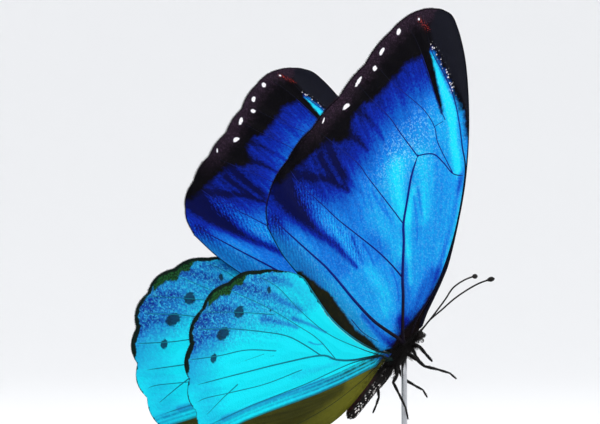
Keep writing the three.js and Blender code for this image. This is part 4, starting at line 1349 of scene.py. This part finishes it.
def wing_sheet(wing, material, paint):
    """The wing's membrane with its scales: two faces and a thin rim."""
    wings = bpy.context.scene.morpho_wings
    spans, chords = wing.plan["steps"]
    rows = chords + 1
    layer = (spans + 1) * rows
    half = wings.thickness / MM / 2 * (0.4 + 0.6 * smoothstep(0, 1, wing.to_rim))
    body = np.vstack([wing.place(wing.flat, wing.rise + half), wing.place(wing.flat, wing.rise - half)])
    i, j = np.meshgrid(np.arange(spans), np.arange(chords), indexing="ij")
    a = (i * rows + j).ravel()
    b = a + rows
    top = np.stack([a, b, b + 1, a + 1], axis=1)
    bottom = np.stack([a, a + 1, b + 1, b], axis=1) + layer
    rim = np.concatenate([np.arange(spans) * rows, spans * rows + np.arange(chords),
        np.arange(spans, 0, -1) * rows + chords, np.arange(chords, 0, -1)])
    after = np.roll(rim, -1)
    edge = np.stack([after, rim, rim + layer, after + layer], axis=1)
    faces = np.vstack([top, bottom, edge])
    if wing.side == RIGHT:
        faces = faces[:, ::-1]
    piece = new_piece(wing.name + "_sheet", to_world(body), faces, material)
    none = np.zeros(len(wing.flat))
    stored_values = {**paint, "to_outer": wing.to_outer, "to_rim": wing.to_rim,
        "to_hinge": np.linalg.norm(wing.flat, axis=1), "flat": np.column_stack([wing.flat, none]),
        "ray": np.column_stack([wing.u, wing.v, none])}
    for name, values in stored_values.items():
        write_attribute(piece.data, name, np.concatenate([values, values]))
    # The upper face takes the left half of the unit square, the lower face the right half.
    own = wing_unwrap(wing.flat) * (0.49, 1)
    write_map(piece.data, np.vstack([own, own + (0.5, 0)]))
    return piece


def wing_unwrap(flat):
    """Flat millimetres to the unit square, in which both faces of the wing have the same place."""
    return (flat - WING_FIELD_CORNER) / WING_FIELD_SIZE


def wing_veins(wing, material):
    """Round veins that stand a little proud of both faces, and the stout front edge."""
    costa = FORE_COSTA if wing.fore else HIND_COSTA
    veins = [(route, ((0, start), (1, end))) for start, end, route in wing.veins]
    routes = []
    for route, profile in [(wing.front_edge[2:-2:12], costa), *veins]:
        spots = evened(route, 0.7)
        share = np.linspace(0, 1, len(spots))
        thick = np.interp(share, *zip(*profile, strict=True)) * np.minimum(1, 0.35 + 8 * (1 - share))
        if np.linalg.norm(spots[0]) < ROOT_REACH:
            thick[0] *= 0.2
        routes.append((to_world(wing.place(spots, wing.height_at(spots))), thick * MM))
    piece = tube_piece(wing.name + "_veins", routes, material)
    flat = wing_flat_of(wing, vertex_places(piece.data))
    write_attribute(piece.data, "to_hinge", np.linalg.norm(flat, axis=1))
    dark = region_depth(flat, FORE_BORDER if wing.fore else HIND_FOLD)
    if wing.fore:
        dark = np.maximum(dark, 0.9 - path_distance(flat, wing.front_edge)[0])
    write_attribute(piece.data, "dark_zone", dark)
    return piece


def fringe_material():
    wings = bpy.context.scene.morpho_wings
    material, board, shader = new_material("Edge scales")
    tone = board.noise(board.attribute("root", "Vector"), 900, 2)
    board.dress(shader, board.mix(tone, wings.black, wings.plum), 0.05, (tone, 0.5, 0.75))
    return material


def wing_fringe(wing, material):
    """Fine scales evenly along the outer edge, longest about its middle; on a hindwing they are shorter
    towards its inner end.
    """
    wings = bpy.context.scene.morpho_wings
    edge = wing.tip_edge
    along = np.gradient(edge, axis=0)
    along /= np.linalg.norm(along, axis=1)[:, None]
    outward = np.column_stack([-along[:, 1], along[:, 0]])
    lie = np.array([wing.lengthwise(way) for way in outward])
    spots = edge - outward * 0.12
    points = to_world(wing.place(spots, wing.height_at(spots)))
    length = wings.fringe_length * (0.55 + 0.45 * np.sin(np.linspace(0, math.pi, len(edge))))
    if not wing.fore:
        length *= np.interp(np.linspace(0, 1, len(edge)), (0.4, 0.6), (0.75, 0.35))
    piece = new_piece(wing.name + "_fringe", points, [], edges=line_of(points))
    write_attribute(piece.data, "lie", lie)
    write_attribute(piece.data, "up", np.broadcast_to(wing.up(), (len(points), 3)))
    write_attribute(piece.data, "hair_length", length)
    run_tree(piece, found_group("Fringe", build_fringe_tree), count=FRINGE_COUNT, material=material, **FRINGE)
    patch_map(piece, lambda root: wing_unwrap(wing_flat_of(wing, root)))
    return piece


def wing_flat_of(wing, world):
    """World metres back to the wing's flat layout."""
    local = (to_body(world) - wing.hinge()) @ wing.turn()
    forward = local[:, 0] / wing.set.get("spread", 1)
    outward = (wing.side * local[:, 1] - wing.set.get("shear", 0) * forward) / wing.set.get("reach", 1)
    return np.column_stack([outward, forward])


# ---- body


def abdomen_stations():
    """The abdomen's middle line and radii, from the thorax back."""
    t = np.linspace(0, 1, 60)
    blunt = np.sqrt(np.clip(1 - np.clip(1 - (1 - t) / 0.12, 0, 1) ** 2, 0.05, 1))
    front = 0.75 + 0.25 * smoothstep(0, 0.15, t)
    line = np.column_stack([ABDOMEN_FRONT - ABDOMEN_LENGTH * t, 0 * t,
        ABDOMEN_TOP_LINE - ABDOMEN_DROOP * np.sin(math.pi / 2 * t)])
    return line, (ABDOMEN_RADIUS - 0.1) * (1 - ABDOMEN_TAPER * t * t) * blunt * front


def leg_stations(path):
    """A jointed leg: each length swells in its middle and narrows at the joints."""
    path = np.array(path, float)
    points, radii = [], []
    for i in range(len(path) - 1):
        for t in np.linspace(0, 1, 7)[: 7 if i == len(path) - 2 else 6]:
            points.append(path[i] * (1 - t) + path[i + 1] * t)
            swell = 0.82 + 0.24 * math.sin(math.pi * t)
            radii.append((LEG_RADII[i] * (1 - t) + LEG_RADII[i + 1] * t) * swell)
    return np.array(points), np.array(radii)


def eye_rim(side):
    """The ring of cuticle that an eye sits in."""
    (forward, left, dorsal), (length, _, height) = EYE_CENTRE, EYE_HALF
    return [(forward + 0.93 * length * math.cos(a), side * (left - 0.28),
        dorsal + 0.93 * height * math.sin(a)) for a in np.linspace(0, 2 * math.pi, 33)]


def sided_parts(side):
    """The eye's rim, the palp, the shoulder and the feeler's socket of one side."""
    ring = eye_rim(side)
    palp = evened(sided(PALP_PATH, side), 0.15)
    share = np.linspace(0, 1, len(palp))
    radii = np.interp(share, np.linspace(0, 1, len(PALP_RADII)), PALP_RADII)
    shoulder = evened(sided(SHOULDER, side), 0.3)
    forward, left, dorsal = FEELERS["left"][0]
    socket = evened(sided([(forward - 0.35, left, dorsal), (forward + 0.2, left, dorsal)], side), 0.1)
    return [
        ("head", [ring[0], ring[8]], limb_solid(ring, 0.13, 10)),
        ("palp", [palp[0], palp[-1]], limb_solid(palp, radii, 12)),
        ("thorax", shoulder[::-1], limb_solid(shoulder, SHOULDER_RADIUS)),
        ("head", socket[::-1], limb_solid(socket, SOCKET_RADIUS, 12)),
    ]


def body_parts():
    """Every part of the skin: its name, its middle line towards where the hair lies, its solid."""
    line, radii = abdomen_stations()
    parts = [
        ("thorax", [(3.4, 0, -0.7), (-4.2, 0, -0.7)], ball_solid(THORAX_CENTRE, THORAX_HALF, COAT_DEPTH)),
        ("thorax", [(4, 0, -1), (0.4, 0, -1)], ball_solid(CHEST_CENTRE, CHEST_HALF, COAT_DEPTH)),
        ("head", [(6.7, 0, -1.25), (4.3, 0, -1.65)], ball_solid(HEAD_CENTRE, HEAD_HALF, HEAD_COAT_DEPTH)),
        ("abdomen", [line[0], line[-1]], limb_solid(line, radii, 28)),
        ("neck", NECK[::-1], limb_solid(evened(NECK, 0.3), NECK_RADIUS)),
        ("head", FACE_BUMP, limb_solid(evened(FACE_BUMP, 0.15), FACE_RADIUS)),
        *sided_parts(LEFT), *sided_parts(RIGHT),
    ]
    for side, path in LEGS.values():
        line, radii = leg_stations(sided(path, side))
        parts.append(("leg", [*line[::6], line[-1]], limb_solid(line, radii, 14)))
    return parts


def joined_solids(solids):
    vertices, faces = [], []
    for points, corners in solids:
        first = len(vertices)
        vertices += [tuple(p) for p in points]
        faces += [tuple(first + c for c in face) for face in corners]
    return vertices, faces


def skin_material():
    body = bpy.context.scene.morpho_body
    material, board, shader = new_material("Cuticle")
    place = board.attribute("place", "Vector")
    markings = board.group(found_group("Body markings", build_body_markings), place=place)["Color"]
    pits = board.cells(place, 7)["Distance"]
    fine = board.noise(place, 9, 3, 0.6)
    colour = board.mix(fine * 0.5, markings, linear(body.dark, 0.4))
    board.dress(shader, colour, 0.12, (fine, 0.36, 0.6), (pits + fine, 0.00004, 0.6))
    return material


def coat_material(name, lighten):
    """Hairs in the skin's own markings, a little lighter at their tips."""
    material, board, shader = new_material(name)
    markings = board.group(found_group("Body markings", build_body_markings),
        place=board.attribute("place", "Vector"))["Color"]
    tip = board.split(board.attribute("tuft", "Vector"))[1]
    single = board.noise(board.attribute("place", "Vector"), 12, 1)
    pale = board.mix(1, markings, (lighten, lighten * 0.86, lighten * 0.76, 1), "ADD")
    factor = board.span(tip, 0.3, 1) * board.span(single, 0.35, 0.7)
    board.dress(shader, board.mix(factor, markings, pale), 0.12, (single, 0.42, 0.66))
    return material


def body_unwrap(root):
    """The skin's unwrap: the trunk rolled out round its own axis above, the legs in strips below."""
    place = to_body(root)
    forward, left, dorsal = place.T
    around = np.arctan2(left, dorsal - ABDOMEN_TOP_LINE) / (2 * math.pi) + 0.5
    along = np.clip((forward + 18) / 26, 0, 1)
    trunk = np.column_stack([0.02 + 0.96 * around, 0.32 + 0.66 * along])
    below = np.clip((-dorsal - 1) / 14, 0, 1)
    strip = (left > 0) * 0.5 + np.clip((forward + 14) / 20, 0, 1) * 0.46 + 0.02
    legs = np.column_stack([strip, 0.02 + 0.28 * below])
    gap = np.hypot(left, dorsal - ABDOMEN_TOP_LINE)
    return np.where((gap > 2.6)[:, None], legs, trunk)


def coat_piece(skin, zone):
    """The tufts of one zone of the skin."""
    body = bpy.context.scene.morpho_body
    names, share, lighten, tuft = COATS[zone]
    piece = copied(skin, zone + "_coat")
    mesh = piece.data
    chosen = np.isin(np.rint(read_attribute(mesh, "part", 1)), [PART_NUMBERS[name] for name in names])
    write_attribute(mesh, "hair", chosen.astype(float))
    length = np.full(len(mesh.vertices), getattr(body, zone + "_hair"))
    if zone == "thorax":
        place = read_attribute(mesh, "place", 3)
        length *= 0.6 + 0.6 * smoothstep(-1.5, 0.6, place[:, 2]) + 0.3 * smoothstep(1, 3.4, place[:, 0])
    write_attribute(mesh, "hair_length", length)
    run_tree(piece, found_group("Coat", build_coat_tree), density=body.hair_density * share / MM**2,
        material=coat_material(zone.capitalize() + " coat", lighten), **tuft)
    write_attribute(piece.data, "place", to_body(read_attribute(piece.data, "root", 3)))
    patch_map(piece, body_unwrap)
    return piece


# ---- operators


class MORPHO_OT_stage(bpy.types.Operator):
    """Set up the pale floor, the soft lamps and the camera"""

    bl_idname = "morpho.stage"
    bl_label = "Studio"

    def execute(self, context):
        stage = context.scene.morpho_stage
        self.floor(stage)
        self.lamps(context, stage)
        self.camera(context)
        context.scene.view_settings.view_transform = "Standard"
        return {"FINISHED"}

    def floor(self, stage):
        """A round floor that curls up into its own backdrop, with no corner."""
        material, board, shader = new_material("Studio floor")
        mottle = board.noise(board.place(), 3, 2)
        colour = board.mix(mottle * 0.12, stage.floor, linear(stage.floor, 0.97))
        board.dress(shader, colour, 0.1, others=[("Roughness", 0.9)])
        profile = [(FLOOR_FLAT * (k + 1) / FLOOR_RINGS, 0) for k in range(FLOOR_RINGS)]
        for turn in np.linspace(0, math.pi / 2, FLOOR_STEPS + 1)[1:]:
            profile.append((FLOOR_FLAT + (FLOOR_REACH - FLOOR_FLAT) * math.sin(turn),
                FLOOR_RISE * (1 - math.cos(turn))))
        vertices = [(0, 0, 0), *circle_points(profile, FLOOR_SIDES)]
        faces = [(0, 1 + k, 1 + (k + 1) % FLOOR_SIDES) for k in range(FLOOR_SIDES)]
        faces += [(a, d, c, b) for a, b, c, d in ring_walls(1, len(profile), FLOOR_SIDES)]
        floor = new_piece("studio_floor", vertices, faces, material)

    def lamps(self, context, stage):
        world = bpy.data.worlds.new("Studio sky")
        world.use_nodes = True
        world.node_tree.nodes.clear()
        board = Board(world.node_tree)
        inputs = {"Color": (1, 1, 1, 1), "Strength": stage.sky_strength}
        sky = board.wire("ShaderNodeBackground", inputs)
        board.node("ShaderNodeOutputWorld", {"Surface": sky})
        context.scene.world = world
        for name, (place, size, power) in LAMPS.items():
            lamp = bpy.data.lights.new(name + "_lamp", "AREA")
            lamp.size, lamp.energy = size, getattr(stage, power)
            holder = linked(name + "_lamp", lamp)
            holder.location = place
            aim = Vector(LAMP_AIM) - Vector(place)
            holder.rotation_euler = aim.to_track_quat("-Z", "Y").to_euler()

    def camera(self, context):
        data = bpy.data.cameras.new("camera")
        data.lens, data.sensor_width = CAMERA_LENS, CAMERA_SENSOR
        data.clip_start, data.clip_end = 0.01, 20
        camera = linked("camera", data)
        camera.location = CAMERA_PLACE
        camera.rotation_euler = Vector(CAMERA_AIM).to_track_quat("-Z", "Y").to_euler()
        context.scene.camera = camera


class MORPHO_OT_wings(bpy.types.Operator):
    """Build the four wings with their scales, veins and fringes"""

    bl_idname = "morpho.wings"
    bl_label = "Wings"

    def execute(self, context):
        wings = context.scene.morpho_wings
        finishes = {
            True: (forewing_material(), vein_material("Forewing veins", wings.vein_base, wings.vein,
                (4, 24), wings.black)),
            False: (hindwing_material(), vein_material("Hindwing veins", wings.hind_edge, wings.hind_vein,
                (4, 16), wings.olive_dark)),
        }
        edge = fringe_material()
        for name in WING_SET:
            wing = Wing(name)
            paint = fore_paint(wing) if wing.fore else hind_paint(wing)
            scales, veins = finishes[wing.fore]
            sheet = wing_sheet(wing, scales, paint)
            settle(sheet, "wing", name)
            settle(wing_veins(wing, veins), "wing")
            settle(wing_fringe(wing, edge), "wing")
            settle(self.base_hair(wing, sheet), "fur")
        return {"FINISHED"}

    def base_hair(self, wing, sheet):
        """Long hairs that spread from the body over the wing's base and the hindwing's inner field."""
        body = bpy.context.scene.morpho_body
        wings = bpy.context.scene.morpho_wings
        piece = copied(sheet, wing.name + "_hair")
        mesh = piece.data
        away = read_attribute(mesh, "to_hinge", 1)
        flat = read_attribute(mesh, "flat", 3)[:, :2].astype(float)
        thick = 0.6 * smoothstep(7.5, 2, away)
        if wing.fore:
            root = read_attribute(mesh, "root", 1)
            thick = np.maximum(thick * smoothstep(-2.5, -0.5, root), smoothstep(-1.2, 0.2, root))
            # The coat's tree stores each tuft's root under the same name.
            mesh.attributes.remove(mesh.attributes["root"])
        else:
            inner = smoothstep(2.6, 0.2, np.tile(wing.to_back, 2)) * smoothstep(20, 8, away)
            thick = np.maximum(thick, 0.7 * inner)
        write_attribute(mesh, "hair", thick)
        write_attribute(mesh, "hair_length", body.base_hair * (0.5 + 0.5 * smoothstep(8, 2, away)))
        ways = flat / np.maximum(np.linalg.norm(flat, axis=1), 1e-6)[:, None]
        along = np.column_stack([ways[:, 1], wing.side * ways[:, 0], np.zeros(len(ways))]) @ wing.turn().T
        write_attribute(mesh, "lie", turn_to_world(along) + vertex_normals(mesh) * 0.22)
        material, board, shader = new_material(wing.name + " hair")
        tone = board.noise(board.attribute("root", "Vector"), 700, 2)
        far = board.span(board.attribute("root_away"), 5, 12)
        tint = wings.vein_base if wing.fore else wings.olive
        board.dress(shader, board.mix(far * 0.8, body.dark, tint), 0.1, (tone, 0.42, 0.65))
        run_tree(piece, found_group("Coat", build_coat_tree), density=BASE_HAIR_DENSITY / MM**2,
            material=material, **BASE_HAIR)
        root = wing_flat_of(wing, read_attribute(piece.data, "root", 3))
        write_attribute(piece.data, "root_away", np.linalg.norm(root, axis=1))
        patch_map(piece, lambda spots: wing_unwrap(wing_flat_of(wing, spots)))
        return piece


class MORPHO_OT_skin(bpy.types.Operator):
    """Build the one skin over head, thorax, abdomen, palps and legs"""

    bl_idname = "morpho.skin"
    bl_label = "Skin"

    def execute(self, context):
        parts = body_parts()
        vertices, faces = joined_solids([solid for _, _, solid in parts])
        skin = new_piece("body_skin", vertices, faces)
        remesh = skin.modifiers.new("One skin", "REMESH")
        remesh.mode, remesh.voxel_size = "VOXEL", SKIN_VOXEL
        smooth = skin.modifiers.new("Soften", "SMOOTH")
        smooth.factor, smooth.iterations = SKIN_SOFTENING, SKIN_PASSES
        baked_from_modifiers(skin)
        self.finish_surface(skin, parts)
        settle(skin, "fur", "thorax", "head", "abdomen", "palp_left", "palp_right", *LEGS)
        return {"FINISHED"}

    def finish_surface(self, skin, parts):
        """Adds the abdomen's rings, moves the skin to its place and stores how the hair lies on it."""
        mesh = skin.data
        place = vertex_places(mesh)
        normals = vertex_normals(mesh)
        nearest = np.full(len(place), np.inf)
        number, lie = np.zeros(len(place)), np.zeros((len(place), 3))
        for name, route, _ in parts:
            route = np.array(route, float)
            gap, share = path_distance(place, route)
            gap = gap / PART_GIRTHS[name]
            ways = np.gradient(route, axis=0)
            ways /= np.maximum(np.linalg.norm(ways, axis=1), 1e-9)[:, None]
            way = ways[np.clip(np.rint(share * (len(route) - 1)).astype(int), 0, len(route) - 1)]
            nearer = gap < nearest
            nearest = np.where(nearer, gap, nearest)
            number = np.where(nearer, PART_NUMBERS[name], number)
            lie = np.where(nearer[:, None], way, lie)
        on_abdomen = smoothstep(-4.4, -5.2, place[:, 0]) * (np.hypot(place[:, 1], place[:, 2] + 1.3) < 1.5)
        wave = np.abs(np.sin(math.pi * ABDOMEN_RINGS * (ABDOMEN_FRONT - place[:, 0]) / ABDOMEN_LENGTH))
        place = place - normals * (RING_DEPTH * on_abdomen * (1 - wave) ** 3)[:, None]
        mesh.vertices.foreach_set("co", to_world(place).astype(np.float32).ravel())
        mesh.update()
        stand = np.full(len(place), OTHER_STAND)
        for name, rise in HAIR_STAND.items():
            stand[number == PART_NUMBERS[name]] = rise
        lie = lie + normals * stand[:, None]
        write_attribute(mesh, "place", place)
        write_attribute(mesh, "part", number)
        write_attribute(mesh, "lie", turn_to_world(lie))
        mesh.materials.clear()
        mesh.materials.append(skin_material())
        mesh.shade_smooth()


class MORPHO_OT_coat(bpy.types.Operator):
    """Grow the tufts of the thorax, abdomen, head and legs"""

    bl_idname = "morpho.coat"
    bl_label = "Coat"

    def execute(self, context):
        skin = bpy.data.objects.get("body_skin")
        if skin is None:
            raise RuntimeError("the coat grows on the skin, so build the skin first")
        for zone in COATS:
            settle(coat_piece(skin, zone), "fur")
        return {"FINISHED"}


class MORPHO_OT_head(bpy.types.Operator):
    """Build the faceted eyes, the feelers and the coiled tongue"""

    bl_idname = "morpho.head"
    bl_label = "Eyes, feelers and tongue"

    def execute(self, context):
        shell = self.shell_material()
        eye = self.eye_material()
        for word, side in SIDES.items():
            settle(self.eye(word, side, eye), "eye", "eye_" + word)
            settle(self.feeler(word, sided(FEELERS[word], side), shell), "shell", "antenna_" + word)
        settle(self.tongue(shell), "shell", "proboscis")
        return {"FINISHED"}

    def eye(self, word, side, material):
        piece = new_piece("eye_" + word + "_lens", [(0, 0, 0)], [])
        centre = to_world(sided([EYE_CENTRE], side))[0]
        run_tree(piece, found_group("Facets", build_facet_tree), half=[h * MM for h in EYE_HALF],
            centre=tuple(centre), subdivisions=5, lens=0.012, material=material)
        return piece

    def eye_material(self):
        body = bpy.context.scene.morpho_body
        material, board, shader = new_material("Eye lens")
        band = board.noise(board.place(), 900, 2)
        colour = board.mix(board.span(band, 0.35, 0.7), body.eye, linear(body.eye, 0.35))
        wet = [("Coat Weight", 0.06), ("Coat Roughness", 0.06)]
        board.dress(shader, colour, 0.1, (band, 0.16, 0.28), others=wet)
        return material

    def shell_material(self):
        body = bpy.context.scene.morpho_body
        material, board, shader = new_material("Feeler shell")
        fine = board.noise(board.place(), 4200, 2)
        colour = board.mix(fine, body.feeler, linear(body.feeler, 2.1))
        board.dress(shader, colour, 0.15, (fine, 0.34, 0.55), (fine, 0.00002, 0.5))
        return material

    def feeler(self, word, route, material):
        """A thread of short segments that ends in a club."""
        path = evened(route, 0.09)
        share = np.linspace(0, 1, len(path))
        to_tip = (1 - share) * np.linalg.norm(np.diff(path, axis=0), axis=1).sum()
        club = smoothstep(1, 0.45, to_tip / CLUB_LENGTH)
        rounded = np.sqrt(np.clip(to_tip / 0.6, 0.02, 1))
        ringed = 1 + 0.1 * np.abs(np.sin(np.arange(len(path)) * math.pi / 4))
        thick = (FEELER_RADIUS + (CLUB_RADIUS - FEELER_RADIUS) * club) * ringed * rounded
        return tube_piece("feeler_" + word, [(to_world(path), thick * MM)], material, 12)

    def tongue(self, material):
        turns = np.linspace(0, 1, 90)
        angle = math.pi / 2 - 2 * math.pi * TONGUE_TURNS * turns
        reach = TONGUE_OUTER + (TONGUE_INNER - TONGUE_OUTER) * turns
        path = np.column_stack([TONGUE_CENTRE[0] + reach * np.cos(angle), 0 * turns,
            TONGUE_CENTRE[2] + reach * np.sin(angle)])
        path = np.vstack([[TONGUE_ROOT], path])
        thick = TONGUE_RADIUS * np.linspace(1, 0.45, len(path))
        return tube_piece("tongue", [(to_world(path), thick * MM)], material, 10)


class MORPHO_OT_stand(bpy.types.Operator):
    """Turn the wooden base and the steel rod of the display stand"""

    bl_idname = "morpho.stand"
    bl_label = "Stand"

    def execute(self, context):
        stand = context.scene.morpho_stand
        settle(self.base(stand), "base_wood", "stand_base")
        settle(self.rod(stand), "rod_steel", "stand_rod")
        return {"FINISHED"}

    def rounded_top(self, radius, top, rounding, steps):
        """The profile of a rounded upper edge."""
        return [(radius - rounding + rounding * math.cos(a),
            top - rounding + rounding * math.sin(a)) for a in np.linspace(0, math.pi / 2, steps)]

    def base(self, stand):
        material, board, shader = new_material("Turned wood")
        spot = board.place()
        bent = board.vector_math("MULTIPLY", spot, (1, 0.22, 1))
        rings = board.wire("ShaderNodeTexWave", {"Vector": bent, "Scale": 95, "Distortion": 5,
            "Detail Scale": 1.2}, "Fac", bands_direction="X", wave_profile="SIN")
        pores = board.noise(board.vector_math("MULTIPLY", spot, (2400, 260, 2400)), 1, 2)
        wood = board.mix(rings, stand.wood_dark, stand.wood_light)
        wood = board.mix(board.span(pores, 0.52, 0.7) * 0.5, wood, linear(stand.wood_dark, 0.5))
        board.dress(shader, wood, 0.5, (pores, 0.32, 0.5), (rings + pores, 0.00003, 0.35),
            [("Coat Weight", 0.3), ("Coat Roughness", 0.2)])
        profile = [(0, 0), (BASE_RADIUS * 0.5, 0), (BASE_RADIUS - 0.0004, 0), (BASE_RADIUS, 0.0004)]
        profile += self.rounded_top(BASE_RADIUS, BASE_HEIGHT, BASE_ROUND, 8)
        profile += [(BASE_RADIUS * 0.92, BASE_HEIGHT), (BASE_RADIUS * 0.5, BASE_HEIGHT), (0, BASE_HEIGHT)]
        return new_piece("base_turned", *turned_solid(profile, 160), material)

    def rod(self, stand):
        material, board, shader = new_material("Brushed steel")
        brushed = board.noise(board.vector_math("MULTIPLY", board.place(), (600, 600, 14000)), 1, 3)
        colour = board.mix(brushed * 0.3, stand.steel, linear(stand.steel, 0.7))
        board.dress(shader, colour, 0.5, (brushed, 0.24, 0.4), (brushed, 0.00001, 0.4), [("Metallic", 1)])
        collar_top = BASE_HEIGHT + COLLAR_HEIGHT
        profile = [(0, BASE_HEIGHT), (COLLAR_RADIUS, BASE_HEIGHT)]
        profile += self.rounded_top(COLLAR_RADIUS, collar_top, COLLAR_ROUND, 6)
        profile += [(ROD_RADIUS * 1.4, collar_top), (ROD_RADIUS, collar_top + 0.0003)]
        profile += [(ROD_RADIUS, z) for z in np.linspace(collar_top + 0.002, ROD_TOP, 12)]
        profile += [(0, ROD_TOP)]
        return new_piece("rod_turned", *turned_solid(profile, 48), material)


class MORPHO_PT_panel(bpy.types.Panel):
    """Lists the steps in the order they are built"""

    bl_idname = "MORPHO_PT_panel"
    bl_label = "Blue Morpho"
    bl_space_type = "VIEW_3D"
    bl_region_type = "UI"
    bl_category = "Morpho"

    def draw(self, context):
        for step in STEPS:
            self.layout.operator(step.bl_idname)
        for name in SETTINGS:
            group = getattr(context.scene, name)
            box = self.layout.box()
            for prop in group.bl_rna.properties:
                if prop.identifier not in ("name", "rna_type"):
                    box.prop(group, prop.identifier)


STEPS = [MORPHO_OT_stage, MORPHO_OT_wings, MORPHO_OT_skin, MORPHO_OT_coat, MORPHO_OT_head, MORPHO_OT_stand]
SETTINGS = {"morpho_pose": MorphoPose, "morpho_wings": MorphoWings, "morpho_body": MorphoBody,
    "morpho_stand": MorphoStand, "morpho_stage": MorphoStage}


def register():
    for made in (*SETTINGS.values(), *STEPS, MORPHO_PT_panel):
        bpy.utils.register_class(made)
    for name, group in SETTINGS.items():
        setattr(bpy.types.Scene, name, bpy.props.PointerProperty(type=group))


def unregister():
    for name in SETTINGS:
        delattr(bpy.types.Scene, name)
    for made in (MORPHO_PT_panel, *reversed(STEPS), *reversed(SETTINGS.values())):
        bpy.utils.unregister_class(made)


def main():
    register()
    bpy.ops.morpho.stage()
    bpy.ops.morpho.wings()
    bpy.ops.morpho.skin()
    bpy.ops.morpho.coat()
    bpy.ops.morpho.head()
    bpy.ops.morpho.stand()


if __name__ == "__main__":
    main()
